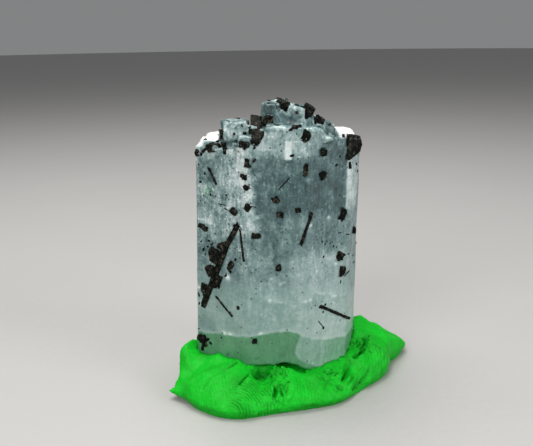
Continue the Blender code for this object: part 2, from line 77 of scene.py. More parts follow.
camera_data = bpy.data.cameras.new("camera")
camera_data.sensor_fit = "HORIZONTAL"
camera_data.sensor_width = SENSOR_MM
camera_data.lens = FOCAL_LENGTH_MM
camera_data.clip_start = 0.001
camera = bpy.data.objects.new("camera", camera_data)
bpy.context.scene.collection.objects.link(camera)
back = Vector((0, -math.cos(VIEW_RISE), math.sin(VIEW_RISE)))
turn = back.to_track_quat("Z", "Y").to_matrix() @ Matrix.Rotation(VIEW_ROLL, 3, "Z")
camera.matrix_world = Matrix.Translation(VIEW_TARGET + back * VIEW_DISTANCE) @ turn.to_4x4()
bpy.context.scene.camera = camera
bpy.context.scene.view_settings.view_transform = "Standard"

# Each light: place, point it aims at, width and height, watts, colour.
LIGHTS = {
    "overhead": ((-0.05, 0.05, 0.31), (0.0, 0.0, 0.02), (0.26, 0.22), 1.5, (1.0, 0.99, 0.97)),
    "front_left": ((-0.15, -0.28, 0.22), (0.0, 0.0, 0.02), (0.2, 0.2), 1.15, (1.0, 1.0, 1.0)),
    "right": ((0.27, -0.15, 0.15), (0.0, 0.0, 0.02), (0.14, 0.18), 0.75, (0.97, 0.99, 1.0)),
}
for name, (place, aim, extent, watts, colour) in LIGHTS.items():
    lamp = bpy.data.lights.new(name, "AREA")
    lamp.shape = "RECTANGLE"
    lamp.size, lamp.size_y = extent
    lamp.energy = watts
    lamp.color = colour
    lamp_object = bpy.data.objects.new(name, lamp)
    bpy.context.scene.collection.objects.link(lamp_object)
    lamp_object.location = place
    lamp_object.rotation_euler = (Vector(place) - Vector(aim)).to_track_quat("Z", "Y").to_euler()

world = bpy.data.worlds.new("studio")
world.use_nodes = True
sky = world.node_tree.nodes["Background"]
sky.inputs["Color"].default_value = SKY_COLOUR
sky.inputs["Strength"].default_value = SKY_STRENGTH
bpy.context.scene.world = world

MILLIMETRE = 0.001


def add_object(name, bm, material):
    """Turns a bmesh in millimetres into a smooth-shaded object at the origin, in metres."""
    mesh = bpy.data.meshes.new(name)
    bmesh.ops.scale(bm, vec=(MILLIMETRE, MILLIMETRE, MILLIMETRE), verts=bm.verts)
    for face in bm.faces:
        face.smooth = True
    bm.to_mesh(mesh)
    bm.free()
    mesh.materials.append(material)
    obj = bpy.data.objects.new(name, mesh)
    bpy.context.scene.collection.objects.link(obj)
    return obj


def feed(tree, node, inputs):
    """Gives each of a node's sockets its value, or links it to the socket that feeds it."""
    for socket, value in inputs.items():
        if isinstance(value, bpy.types.NodeSocket):
            tree.links.new(value, node.inputs[socket])
        else:
            node.inputs[socket].default_value = value


def add_node(tree, kind, inputs=None, **settings):
    """Adds a shader node with its settings, and feeds its sockets."""
    made = tree.nodes.new(kind)
    for setting, value in settings.items():
        setattr(made, setting, value)
    feed(tree, made, inputs or {})
    return made


def calculate(tree, operation, *values):
    """A Math node's result."""
    made = add_node(tree, "ShaderNodeMath", dict(enumerate(values)), operation=operation)
    return made.outputs["Value"]


def colour_steps(tree, factor, steps):
    """A colour ramp through steps, each a place from 0 to 1 and an RGB colour."""
    ramp = add_node(tree, "ShaderNodeValToRGB", {"Fac": factor})
    elements = ramp.color_ramp.elements
    while len(elements) < len(steps):
        elements.new(1.0)
    for element, (place, colour) in zip(elements, steps):
        element.position = place
        element.color = (*colour, 1.0)
    return ramp.outputs["Color"]


def noise_value(tree, vector, scale, detail, roughness):
    """A noise texture's value, 0 to 1."""
    inputs = {"Vector": vector, "Scale": scale, "Detail": detail, "Roughness": roughness}
    return add_node(tree, "ShaderNodeTexNoise", inputs).outputs["Fac"]


def grain_group():
    """Node group: soft blotches and fine grain at a place, as a mottle around 0 and a height."""
    tree = bpy.data.node_groups.new("grain", "ShaderNodeTree")
    tree.interface.new_socket("Vector", in_out="INPUT", socket_type="NodeSocketVector")
    for name in ("Blotch Scale", "Grain Scale"):
        tree.interface.new_socket(name, in_out="INPUT", socket_type="NodeSocketFloat")
    for name in ("Mottle", "Height"):
        tree.interface.new_socket(name, in_out="OUTPUT", socket_type="NodeSocketFloat")
    given = add_node(tree, "NodeGroupInput").outputs
    blotch = noise_value(tree, given["Vector"], given["Blotch Scale"], detail=4.0, roughness=0.6)
    fine = noise_value(tree, given["Vector"], given["Grain Scale"], detail=3.0, roughness=0.65)
    both = add_node(tree, "ShaderNodeMix", {"Factor": 0.45, "A": blotch, "B": fine}).outputs["Result"]
    out = add_node(tree, "NodeGroupOutput")
    feed(tree, out, {"Mottle": calculate(tree, "SUBTRACT", both, 0.5), "Height": fine})
    return tree


grain = grain_group()


def new_material(name):
    """A material, its node tree, its shader, and the place on the surface as a socket."""
    material = bpy.data.materials.new(name)
    material.use_nodes = True
    tree = material.node_tree
    place = add_node(tree, "ShaderNodeTexCoord").outputs["Object"]
    return material, tree, tree.nodes["Principled BSDF"], place


def grain_node(tree, vector, blotch, fine):
    """Places the grain group in a material, with its two scales."""
    made = tree.nodes.new("ShaderNodeGroup")
    made.node_tree = grain
    feed(tree, made, {"Vector": vector, "Blotch Scale": blotch, "Grain Scale": fine})
    return made.outputs


TABLE_RADIUS = 1500.0
pale_table, tree, shader, place = new_material("pale_table")
table_grain = grain_node(tree, place, blotch=25.0, fine=900.0)
paint = colour_steps(
    tree, table_grain["Mottle"], ((0.0, (0.325, 0.318, 0.31)), (0.3, (0.35, 0.343, 0.335)))
)
feed(tree, shader, {"Base Color": paint, "Roughness": 0.42})
table_bm = bmesh.new()
bmesh.ops.create_circle(table_bm, cap_ends=True, segments=96, radius=TABLE_RADIUS)
bmesh.ops.translate(table_bm, vec=(0, 0, cad_low[2] / MILLIMETRE), verts=table_bm.verts)
table_top = add_object("table_top", table_bm, pale_table)


# ---- Aquamarine ----
# One upright prism of cloudy beryl, broken off at its foot and grown into a crown of blocky
# fragments. Its faces carry fine upright growth striae, shallow etch pits and healed fractures.

# Prism faces, anticlockwise from the front left: azimuth of the outward normal in degrees, distance
# from the axis at the foot, and inward slope in degrees.
PRISM_FACES = (
    (-121.0, 10.25, 0.3),
    (-92.0, 9.45, 0.0),
    (-56.0, 10.1, 0.0),
    (-19.0, 11.3, 0.0),
    (9.0, 11.6, 0.0),
    (53.0, 10.1, 0.0),
    (88.0, 9.5, 0.2),
    (128.0, 10.7, 0.3),
    (179.0, 11.8, 0.6),
)
PRISM_LEAN = math.radians(1.0)
CORE_WIDTH = 40.0  # wider than the prism, whose faces cut it back
CORE_FOOT = 6.3
CORE_TOP = 35.6
CORE_INSET = 0.04
CRYSTAL_VOXEL = 0.205
leaning = Matrix.Rotation(PRISM_LEAN, 3, "Y")
upright = leaning.transposed()


def cut_off(bm, point, normal):
    """Cuts away what lies beyond the plane, and closes the cut with one flat face."""
    geometry = bm.verts[:] + bm.edges[:] + bm.faces[:]
    cut = bmesh.ops.bisect_plane(
        bm, geom=geometry, dist=1e-5, plane_co=point, plane_no=normal, clear_outer=True
    )
    edges = [item for item in cut["geom_cut"] if isinstance(item, bmesh.types.BMEdge)]
    if edges:
        bmesh.ops.edgeloop_fill(bm, edges=edges)


def trim_to_prism(bm, inset):
    """Cuts a shape back to the side faces of the upright prism."""
    for azimuth, distance, slope in PRISM_FACES:
        a, s = math.radians(azimuth), math.radians(slope)
        normal = Vector((math.cos(a) * math.cos(s), math.sin(a) * math.cos(s), math.sin(s)))
        cut_off(bm, normal * (distance * math.cos(s) - inset), normal)


def chipped_block(size, chance, cuts=8, least=0.62):
    """A broken fragment: a block whose corners are cut off by flat faces."""
    bm = bmesh.new()
    bmesh.ops.create_cube(bm, size=1.0)
    for _ in range(cuts):
        normal = Vector([chance.uniform(-1, 1) for _ in range(3)]).normalized()
        reach = max(vert.co.dot(normal) for vert in bm.verts)
        cut_off(bm, normal * reach * chance.uniform(least, 0.94), normal)
    bmesh.ops.scale(bm, vec=size, verts=bm.verts)
    return bm


def add_shape(target, shape, matrix):
    """Moves one bmesh into place and adds it to another."""
    bmesh.ops.transform(shape, matrix=matrix, verts=shape.verts)
    bmesh.ops.recalc_face_normals(shape, faces=shape.faces)
    carrier = bpy.data.meshes.new("carrier")
    shape.to_mesh(carrier)
    shape.free()
    target.from_mesh(carrier)
    bpy.data.meshes.remove(carrier)


def node_copy(node):
    """A CAD node's surface as a bmesh in millimetres, with its loose triangles merged."""
    bm = bmesh.new()
    bm.from_mesh(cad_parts[node].data)
    bmesh.ops.remove_doubles(bm, verts=bm.verts, dist=1e-6)
    bmesh.ops.scale(bm, vec=(1 / MILLIMETRE, 1 / MILLIMETRE, 1 / MILLIMETRE), verts=bm.verts)
    return bm


def evenly_meshed(bm, voxel):
    """Rebuilds overlapping closed shells as one skin of even, small faces."""
    mesh = bpy.data.meshes.new("blank")
    bm.to_mesh(mesh)
    bm.free()
    blank = bpy.data.objects.new("blank", mesh)
    bpy.context.scene.collection.objects.link(blank)
    remesh = blank.modifiers.new("even", "REMESH")
    remesh.mode = "VOXEL"
    remesh.voxel_size = voxel
    skin = bmesh.new()
    skin.from_object(blank, bpy.context.evaluated_depsgraph_get())
    bpy.data.objects.remove(blank)
    bpy.data.meshes.remove(mesh)
    return skin


def soften(bm, factor):
    """Smooths a bmesh a little."""
    bmesh.ops.smooth_vert(
        bm, verts=bm.verts, factor=factor, use_axis_x=True, use_axis_y=True, use_axis_z=True
    )


def soft_step(value, low, high):
    """0 below low, 1 above high, and a smooth rise between."""
    t = min(1.0, max(0.0, (value - low) / (high - low)))
    return t * t * (3 - 2 * t)


def read_line(line, x):
    """The second coordinate of a broken line of points, at a first coordinate x."""
    if x <= line[0][0]:
        return line[0][1]
    for (x0, z0), (x1, z1) in zip(line, line[1:]):
        if x <= x1:
            return z0 + (z1 - z0) * (x - x0) / (x1 - x0)
    return line[-1][1]


# The blank is the CAD crystal, with a core that fills the pockets from behind, so that the black
# grains grow straight out of the faces, two mounds on its flat shoulders, and small rubble
# between the fragments of the crown.
blank_bm = node_copy("aquamarine_crystal")
core_bm = bmesh.new()
bmesh.ops.create_cube(core_bm, size=1.0)
bmesh.ops.scale(core_bm, vec=(CORE_WIDTH, CORE_WIDTH, CORE_TOP - CORE_FOOT), verts=core_bm.verts)
bmesh.ops.translate(core_bm, vec=(0, 0, (CORE_TOP + CORE_FOOT) / 2), verts=core_bm.verts)
trim_to_prism(core_bm, CORE_INSET)
add_shape(blank_bm, core_bm, leaning.to_4x4())

# Mounds on the shoulders: centre and size, and how far they stand back from the faces.
MOUNDS = (((9.7, 2.5, 35.6), (3.9, 6.0, 3.2)), ((-8.5, 2.6, 35.35), (4.2, 6.4, 2.3)))
MOUND_INSET = 0.1
chance = random.Random(23)
for centre, size in MOUNDS:
    mound_bm = chipped_block(size, chance, cuts=30, least=0.76)
    bmesh.ops.translate(mound_bm, vec=centre, verts=mound_bm.verts)
    trim_to_prism(mound_bm, MOUND_INSET)
    add_shape(blank_bm, mound_bm, leaning.to_4x4())

# The black crystals of the crown, whose pockets are filled with plugs a little smaller and lower.
CROWN_NODES = (
    "summit", "ridge_high", "ridge_middle", "ridge_low", "crown_left", "crown_slab", "crown_rim",
    "rim_middle", "rim_left", "rim_corner", "block_side", "wedge", "crown_scar", "shoulder",
    "back_crown", "back_rim",
)
PLUG_SCALE = 0.78
PLUG_DROP = 0.15
for crown_node in CROWN_NODES:
    plug_bm = node_copy("tourmaline_" + crown_node)
    centre = sum((vert.co for vert in plug_bm.verts), Vector()) / len(plug_bm.verts)
    low_plug = Matrix.Translation(centre - Vector((0, 0, PLUG_DROP))) @ Matrix.Scale(PLUG_SCALE, 4)
    add_shape(blank_bm, plug_bm, low_plug @ Matrix.Translation(-centre))

# Rubble of the crown: how many fragments, their length, where they lie and between which heights.
# Some tops stay clean of it: left, right, front and rear.
RUBBLE_COUNT = 110
RUBBLE_SIZE = (0.5, 1.9)
RUBBLE_AREA = ((-8.2, 7.8), (-8.6, 3.4))
RUBBLE_HEIGHTS = (35.9, 41.2)
RUBBLE_SUNK = 0.2  # of a fragment's length
CLEAN_TOPS = ((-7.8, -4.0, -9.0, -6.0), (-3.0, 4.2, -9.5, -7.4))
SKY_HEIGHT = 60.0  # well above everything: where lines are dropped from
DOWN = Vector((0, 0, -1))
chance = random.Random(4)
crown_tree = BVHTree.FromBMesh(blank_bm)
for _ in range(RUBBLE_COUNT):
    x, y = (chance.uniform(*reach) for reach in RUBBLE_AREA)
    long_side = RUBBLE_SIZE[0] + (RUBBLE_SIZE[1] - RUBBLE_SIZE[0]) * chance.random() ** 2
    extent = [long_side * chance.uniform(0.5, 1.0) for _ in range(3)]
    piece_bm = chipped_block(extent, chance, cuts=6)
    spin = Matrix.Rotation(chance.uniform(0, math.tau), 4, Vector((1, chance.random(), 1)))
    seat = crown_tree.ray_cast(Vector((x, y, SKY_HEIGHT)), DOWN)[0]
    kept_clean = any(left < x < right and front < y < rear for left, right, front, rear in CLEAN_TOPS)
    if kept_clean or seat is None or not RUBBLE_HEIGHTS[0] < seat.z < RUBBLE_HEIGHTS[1]:
        piece_bm.free()
        continue
    add_shape(blank_bm, piece_bm, Matrix.Translation(seat + DOWN * RUBBLE_SUNK * long_side) @ spin)

crystal_bm = evenly_meshed(blank_bm, CRYSTAL_VOXEL)

# Lines on the display side of the upright prism, as (x, height) points: the foot of the cloudy upper
# part, two healed fractures, the top of the foot where the putty's green is painted as seen through
# the stone, and the edge of a shell-shaped break in it.
VEIL_EDGE = (
    (-11.0, 17.4), (-7.2, 16.6), (-3.4, 17.0), (-0.2, 16.7), (2.2, 16.7), (4.9, 16.2), (6.5, 15.4),
    (9.0, 16.4), (11.0, 17.4),
)
WISPS = (
    (
        (-2.9, 14.5), (-1.4, 14.75), (-0.1, 14.5), (1.4, 14.3), (2.3, 13.85), (2.75, 14.2),
        (3.9, 14.75), (5.0, 14.7),
    ),
    ((4.6, 15.6), (5.6, 15.45), (7.4, 15.0), (8.3, 14.35), (9.9, 14.2)),
)
BAND_EDGE = (
    (-12.0, 8.05), (-10.2, 8.15), (-8.2, 8.6), (-6.8, 8.6), (-2.7, 9.4), (-1.0, 9.8), (0.65, 10.0),
    (2.0, 10.0), (3.05, 9.7), (4.0, 9.1), (5.8, 8.3), (7.6, 7.85), (9.5, 7.7), (11.0, 7.4),
)
# This one runs upwards: (height, x) points.
SHELL_EDGE = ((4.4, 5.3), (5.15, 4.1), (5.85, 2.9), (6.75, 2.35), (7.85, 2.5), (9.5, 3.15))

# Zones of the faces, in order, each laid over the ones before it: left, right, bottom and top, how
# soft the edges are, and how light the beryl is there.
FACE_ZONES = {
    "left low": (-12.0, -3.0, 17.2, 23.6, 1.0, 0.5),
    "middle": (-3.3, 10.2, 20.4, 27.0, 0.9, 0.455),
    "centre low": (-3.6, 2.6, 17.4, 20.8, 0.7, 0.52),
    "right low": (2.4, 10.5, 14.0, 21.4, 0.9, 0.655),
    "smoky heart": (-3.4, 9.6, 26.6, 34.9, 0.6, 0.37),
    "deepest": (-1.5, 9.4, 26.8, 32.4, 1.2, 0.31),
    "deep right": (4.6, 9.3, 27.2, 35.0, 0.8, 0.265),
    "heart low": (-2.9, 0.4, 22.8, 27.0, 0.5, 0.395),
    "needle shade": (4.6, 5.9, 22.5, 27.6, 0.3, 0.42),
    "beside needle": (2.4, 4.4, 23.6, 27.4, 0.4, 0.49),
    "light strip": (-6.9, -3.7, 28.3, 37.0, 0.45, 0.68),
    "strip top": (-5.7, -4.3, 31.0, 36.6, 0.3, 0.82),
    "strip foot": (-6.9, -3.3, 24.2, 28.2, 0.35, 0.66),
    "strip streak": (-7.2, -6.85, 23.6, 30.0, 0.15, 0.74),
    "strip rim": (-4.6, -3.4, 25.0, 28.0, 0.4, 0.76),
    "stained": (-11.2, -9.0, 30.4, 34.0, 0.4, 0.42),
    "blue patch": (-8.2, -7.4, 28.0, 30.4, 0.25, 0.44),
    "slab": (-2.8, 3.4, 35.7, 38.6, 0.3, 0.64),
    "slab low": (0.5, 2.6, 34.8, 35.9, 0.3, 0.62),
    "slab left": (-2.6, -1.0, 36.0, 38.2, 0.3, 0.71),
    "slab right": (3.4, 5.2, 35.4, 37.6, 0.4, 0.58),
    "upper right": (5.0, 9.3, 31.2, 36.2, 0.6, 0.315),
    "drip": (-0.75, -0.15, 19.9, 23.4, 0.12, 0.3),
    "drip left": (-1.6, -1.3, 20.6, 24.6, 0.12, 0.42),
    "drip right": (0.7, 1.1, 21.4, 25.0, 0.14, 0.42),
    "lower right": (2.2, 12.5, 8.0, 14.0, 0.8, 0.69),
    "low corner": (5.4, 12.5, 7.0, 11.0, 0.8, 0.72),
    "lower left": (-12.0, 2.4, 8.0, 14.2, 1.2, 0.625),
    "dim corner": (-12.0, -9.0, 8.8, 10.6, 0.5, 0.54),
}
# Flats that mirror the light, with straight edges: left, right, bottom, top and tone.
MIRROR_FLATS = ((0.72, 1.62, 34.7, 37.2, 0.9), (-13.0, -11.3, 33.6, 35.7, 0.8))
# Wide, soft zones on the rear of the prism, laid in the same way.
REAR_ZONES = {
    "pale flank": (-8.0, -3.4, 17.0, 33.0, 1.6, 0.64),
    "smoky core": (-1.6, 6.0, 21.0, 34.0, 1.8, 0.4),
    "dark root": (1.4, 3.4, 24.0, 31.0, 1.0, 0.33),
    "far flank": (7.0, 13.0, 14.0, 30.0, 1.6, 0.56),
    "clear foot": (-13.0, 13.0, 9.0, 15.0, 1.4, 0.63),
}
# Zones of the crown's fragments, over their common tone.
CROWN_TONE = 0.46
CROWN_ZONES = {
    "left block": (-7.6, -3.8, 37.1, 40.4, 0.15, 0.58),
    "top block left": (-2.8, -0.6, 39.0, 43.0, 0.25, 0.38),
    "top block right": (-0.6, 1.4, 38.6, 42.8, 0.25, 0.56),
    "top vein": (-2.7, -0.6, 39.9, 40.4, 0.15, 0.66),
    "right block": (1.4, 3.0, 40.2, 42.8, 0.2, 0.55),
    "blue underside": (1.4, 2.9, 39.0, 40.2, 0.2, 0.36),
    "right slope": (2.9, 5.6, 38.2, 41.2, 0.25, 0.58),
    "right foot": (5.6, 8.9, 36.0, 39.5, 0.4, 0.5),
}
# Bright fracture sparkles: x, height, radius and how much lighter.
SPARKLES = (
    (3.84, 31.98, 0.3, 0.3), (-0.79, 29.09, 0.26, 0.4), (8.78, 36.55, 0.35, 0.3),
    (3.99, 36.8, 0.2, 0.25), (5.4, 36.02, 0.16, 0.3), (-2.86, 26.76, 0.2, 0.4),
    (-7.12, 17.51, 0.38, 0.5), (6.92, 26.31, 0.2, 0.5), (4.38, 25.59, 0.2, 0.5),
    (-9.69, 25.09, 0.4, 0.2), (-10.47, 25.22, 0.45, 0.2), (-10.38, 14.26, 0.26, 0.3),
    (-11.07, 12.8, 0.4, 0.28), (-10.54, 12.27, 0.25, 0.3), (-2.43, 9.62, 0.3, 0.3),
    (-7.73, 8.9, 0.3, 0.25), (-6.85, 8.95, 0.3, 0.25), (0.26, 17.15, 0.25, 0.28),
    (0.83, 17.41, 0.18, 0.28), (-0.97, 17.91, 0.18, 0.2), (-5.23, 21.77, 0.2, 0.3),
    (-2.35, 24.2, 0.25, 0.22), (-10.28, 5.44, 0.4, 0.28), (-9.37, 5.51, 0.36, 0.28),
    (4.51, 14.67, 0.26, 0.25), (3.91, 14.65, 0.22, 0.25), (-1.12, 14.73, 0.28, 0.22),
    (7.96, 14.42, 0.25, 0.2), (8.18, 19.27, 0.16, 0.4), (-11.47, 15.04, 0.22, 0.45),
)


# Tone of the clear faces, and how much darker they are above the edge of the veil.
CLEAR_TONE = 0.585
VEIL_SHADE = 0.015
# The bevel at the front's right edge, which shines.
BEVEL_TONE = 0.79
# The foot, where the putty's green is painted as seen through the stone: its tone and green, what the
# shell-shaped break and the far right change of them, and how much of that painted green lies just
# above.
FOOT_TONE = 0.505
SHELL_LIGHTER = 0.13
FAR_RIGHT_DARKER = 0.04
FOOT_GREEN = 0.95
SHELL_GREEN = 0.36
FAR_RIGHT_GREENER = 0.32
FAINT_GREEN = 0.1
# Heights between which the smooth faces give way to the broken crown.
CROWN_FOOT = (35.8, 36.7)
# How restless the mottle is at each height, as (height, strength) points.
UNREST = ((4.0, 0.28), (9.5, 0.28), (10.5, 0.34), (16.0, 0.36), (18.0, 0.62), (26.0, 0.95))


def between(value, low, high, soft):
    """1 from low to high and 0 outside, with a soft edge at each."""
    return soft_step(value, low - soft, low + soft) * soft_step(-value, -high - soft, -high + soft)


def lay_zones(tone, zones, x, z):
    """The tone at a place, after every zone that reaches it has been laid on."""
    for left, right, bottom, top, soft, target in zones.values():
        if left - soft < x < right + soft and bottom - soft < z < top + soft:
            inside = between(x, left, right, soft) * between(z, bottom, top, soft)
            tone += (target - tone) * inside
    return tone


def face_tone(zones, x, z, wander):
    """How light the beryl is at a place on a side of the prism, 0 to 1."""
    veil = read_line(VEIL_EDGE, x)
    tone = CLEAR_TONE - VEIL_SHADE * soft_step(z, veil - 0.15, veil + 0.5)
    return lay_zones(tone, zones, x, z) + 0.03 * wander


def lay_sparkles(tone, x, z):
    """The tone with the bright fracture sparkles on it."""
    for spark_x, spark_z, radius, gain in SPARKLES:
        if abs(x - spark_x) < 2 * radius and abs(z - spark_z) < 2 * radius:
            away = math.hypot(x - spark_x, z - spark_z) / radius
            tone += gain * math.exp(-away * away)
    return tone


def lay_mirror_flats(tone, x, z, front):
    """The tone with the mirror flats on it, and how far inside one the place is."""
    flat = 0.0
    for left, right, bottom, top, flat_tone in MIRROR_FLATS:
        shine = between(x, left, right, 0.06) * between(z, bottom, top, 0.06)
        shine *= front
        tone += (flat_tone - tone) * shine
        flat = max(flat, shine)
    return tone, flat


def lay_foot(tone, x, z, upward, wander):
    """The tone with the putty's green painted on the foot, as seen through the stone, and how green
    it is.
    """
    edge = read_line(BAND_EDGE, x) + 0.15 * noise.noise(Vector((x * 1.1, 0, 4)))
    band = 1 - soft_step(z, edge - 0.1, edge + 0.1)
    shell = read_line(SHELL_EDGE, z)
    right_part = soft_step(x, shell - 0.15, shell + 0.15)
    far_right = soft_step(x, 6.0, 8.5)
    band_tone = FOOT_TONE + (SHELL_LIGHTER - FAR_RIGHT_DARKER * far_right) * right_part
    band_tone += 0.03 * wander
    band_tone += 0.06 * soft_step(-z, -5.8, -4.4) - 0.07 * math.exp(-((x - shell) / 0.14) ** 2)
    tone += (band_tone - tone) * band
    tone += 0.06 * math.exp(-((z - edge - 0.22) / 0.2) ** 2) * soft_step(-abs(upward), -0.5, -0.2)
    band_green = FOOT_GREEN + (SHELL_GREEN + FAR_RIGHT_GREENER * far_right - FOOT_GREEN) * right_part
    green = FAINT_GREEN * soft_step(-z, -17.5, -15.5) + (band_green - FAINT_GREEN) * band
    # a green stain high on the left face
    green += 0.45 * math.exp(-(((x + 9.9) / 0.5) ** 2 + ((z - 29.6) / 0.7) ** 2))
    return tone, green


def lay_wisps(tone, x, z):
    """The tone with the healed fractures on it: bright broken lines, each with a pale haze above."""
    for wisp in WISPS:
        left, right = wisp[0][0], wisp[-1][0]
        split = read_line(wisp, x) + 0.12 * noise.noise(Vector((x * 2.2, 3, 0)))
        along = soft_step(x, left, left + 0.8) * soft_step(-x, -right, 0.8 - right)
        broken = soft_step(noise.noise(Vector((x * 1.9, 8, z * 0.5))), -0.35, 0.35)
        tone += 0.17 * along * broken * math.exp(-((z - split) / 0.15) ** 2)
        tone += 0.04 * along * math.exp(-((z - split - 0.4) / 0.45) ** 2)
    return tone


def lay_crown(tone, vert, local, drift_x, drift_z, wander, crown):
    """The tone with the crown's fragments on it, with painted highlight on edges and painted shade in
    gaps.
    """
    # the slab at the front of the crown is one with the faces below it
    on_slab = soft_step(-local.y, 5.6, 6.8) * soft_step(local.x, -2.9, -2.4)
    on_slab *= soft_step(-local.x, -6.6, -5.4)
    on_slab *= soft_step(-local.z, -38.7, -38.2)
    facet = noise.cell(local * 0.75 + Vector((3.3, 1.1, 0.4))) - 0.5
    crown_tone = lay_zones(CROWN_TONE, CROWN_ZONES, local.x + drift_x, local.z + drift_z)
    crown_tone += 0.17 * facet + 0.06 * wander
    hollow = sum((edge.other_vert(vert).co - vert.co).dot(vert.normal) for edge in vert.link_edges)
    # painted shade in the hollows between fragments, and a painted highlight on their edges
    crown_tone -= min(0.22, max(-0.09, 1.1 * hollow))
    return tone + (crown_tone - tone) * crown * (1 - on_slab)


def shoulder_white_at(local, upward, wander):
    """How white a place is: the tops of the shoulders are, beside and behind the crown."""
    high = soft_step(local.z, 35.1, 35.5) * soft_step(-local.z, -37.9, -37.4)
    level = soft_step(upward, 0.1, 0.45)
    if local.x > 7.6:
        whiteness = high * soft_step(local.y, -2.6, -1.4) * max(level, soft_step(local.x, 8.2, 8.8))
        whiteness = max(whiteness, high * soft_step(local.z, 36.5, 36.8) * soft_step(local.y, -5.2, -4.2))
    elif local.x < -7.2:
        whiteness = high * soft_step(local.y, -5.4, -3.4) * max(level, soft_step(-local.x, 7.4, 8.0))
    else:
        whiteness = high * level * soft_step(local.y, 1.5, 3.0)
    cap = soft_step(local.x - 0.6 * (38.2 - local.z), 7.6, 8.0) * soft_step(local.z, 37.0, 37.3)
    whiteness = max(whiteness, cap * soft_step(local.y, -7.0, -6.6))
    return whiteness * (1 - 0.75 * soft_step(local.y + 3.0 * wander, 3.6, 6.4))


def crystal_paint(vert):
    """Tone, green, whiteness and unrest at a point of the crystal, each 0 to 1."""
    local = upright @ vert.co
    outward = upright @ vert.normal
    wander = noise.noise(local * 0.45) + 0.5 * noise.noise(local * 1.3 + Vector((7, 3, 1)))
    drift_x = 0.28 * noise.noise(local * 1.1 + Vector((0, 0, 9))) + 0.16 * noise.noise(local * 3.1)
    drift_z = 0.5 * noise.noise(local * 0.9 + Vector((5, 0, 0)))
    # the rear has zones of its own, and a mirrored copy of the foot
    rear = soft_step(local.y + drift_x, -2.2, 0.6)
    x = local.x if rear < 0.5 else 0.8 - local.x
    z = local.z if rear < 0.5 else local.z + 1.2 * soft_step(abs(local.x), 10.5, 7.0)
    tone = 0.0
    if rear < 1:
        tone += (1 - rear) * face_tone(FACE_ZONES, local.x + drift_x, local.z + drift_z, wander)
    if rear > 0:
        tone += rear * face_tone(REAR_ZONES, -local.x + drift_x, local.z + 2 * drift_z, 1.6 * wander)
    if rear < 0.5:
        tone = lay_sparkles(tone, x, z)
    bevel = soft_step(x, 9.3, 9.6) * soft_step(z + 2 * drift_z, 25.2, 28.4)
    bevel *= soft_step(-z, -35.4, -34.6) * soft_step(-local.y, 0.9, 3.4) * (1 - rear)
    tone += (BEVEL_TONE + 0.04 * wander - tone) * bevel
    tone, flat = lay_mirror_flats(tone, x, z, 1 - rear)
    tone, green = lay_foot(tone, x, z, outward.z, wander)
    tone = lay_wisps(tone, x, z)
    crown = soft_step(local.z, *CROWN_FOOT)
    tone = lay_crown(tone, vert, local, drift_x, drift_z, wander, crown)
    unrest = read_line(UNREST, z) + 0.4 * soft_step(-x, 2.6, 3.6) * soft_step(z, 17.0, 19.0)
    calm = 1 - 0.7 * flat
    return tone, green, shoulder_white_at(local, outward.z, wander), max(unrest, crown) * calm


def crystal_relief(point, normal):
    """How far the surface stands out: striae, a swell and etch pits on the sides, a broken crown."""
    local = upright @ point
    x, y, z = local
    crown = soft_step(z, *CROWN_FOOT)
    side = soft_step(-abs((upright @ normal).z), -0.6, -0.3) * (1 - crown)
    striae = 0.034 * noise.noise(Vector((x * 2.6, y * 2.6, z * 0.11)))
    striae += 0.018 * noise.noise(Vector((x * 6.5, y * 6.5, z * 0.25)))
    swell = 0.05 * noise.noise(Vector((x * 0.4, y * 0.4, z * 0.15)))
    pits = -0.07 * soft_step(noise.noise(Vector((x * 2.4, y * 2.4, z * 1.5 + 40))), 0.34, 0.48)
    broken = 0.08 * noise.noise(local * 1.4) + 0.07 * noise.noise(local * 3.6)
    return side * (striae + swell + pits) + (1 - side) * broken


crystal_bm.normal_update()
masks = crystal_bm.verts.layers.float_color.new("beryl")
shifts = []
for vert in crystal_bm.verts:
    vert[masks] = crystal_paint(vert)
    shifts.append(vert.normal * crystal_relief(vert.co, vert.normal))
for vert, shift in zip(crystal_bm.verts, shifts):
    vert.co += shift
soften(crystal_bm, 0.2)
crystal_tree = BVHTree.FromBMesh(crystal_bm)

def mix_colours(tree, factor, first, second, blend_type="MIX"):
    """A Mix node's colour: first where factor is 0, and second where it is 1."""
    mixed = add_node(
        tree,
        "ShaderNodeMix",
        {"Factor": factor, 6: first, 7: second},
        data_type="RGBA",
        blend_type=blend_type,
    )
    return mixed.outputs[2]


def bump_normal(tree, height, strength, distance):
    """The normal of a surface with small relief, from its height."""
    inputs = {"Strength": strength, "Distance": distance, "Height": height}
    return add_node(tree, "ShaderNodeBump", inputs).outputs["Normal"]


# The tone picks the colour, from smoky dark to pale. Clouds, striae and slanting scratches mottle it,
# and light flecks and dark inclusions dot it where the stone is restless.
cloudy_beryl, tree, shader, place = new_material("cloudy_beryl")
beryl_masks = add_node(tree, "ShaderNodeAttribute", attribute_name="beryl")
mask = add_node(tree, "ShaderNodeSeparateColor", {"Color": beryl_masks.outputs["Color"]}).outputs
unrest = beryl_masks.outputs["Alpha"]
long_grain = add_node(tree, "ShaderNodeMapping", {"Vector": place, "Scale": (1.0, 1.0, 0.18)})
slanted = add_node(
    tree,
    "ShaderNodeMapping",
    {"Vector": place, "Rotation": (0.0, math.radians(38.0), 0.0), "Scale": (1.0, 1.0, 0.14)},
)
cloud = grain_node(tree, place, blotch=620.0, fine=2300.0)
striae = grain_node(tree, long_grain.outputs["Vector"], blotch=1500.0, fine=4200.0)
scratches = grain_node(tree, slanted.outputs["Vector"], blotch=1900.0, fine=5200.0)
mottle = calculate(tree, "MULTIPLY", cloud["Mottle"], 1.15)
mottle = calculate(tree, "MULTIPLY_ADD", striae["Mottle"], 0.55, mottle)
mottle = calculate(tree, "MULTIPLY_ADD", scratches["Mottle"], 0.4, mottle)
tone = calculate(tree, "MULTIPLY_ADD", mottle, unrest, mask["Red"])
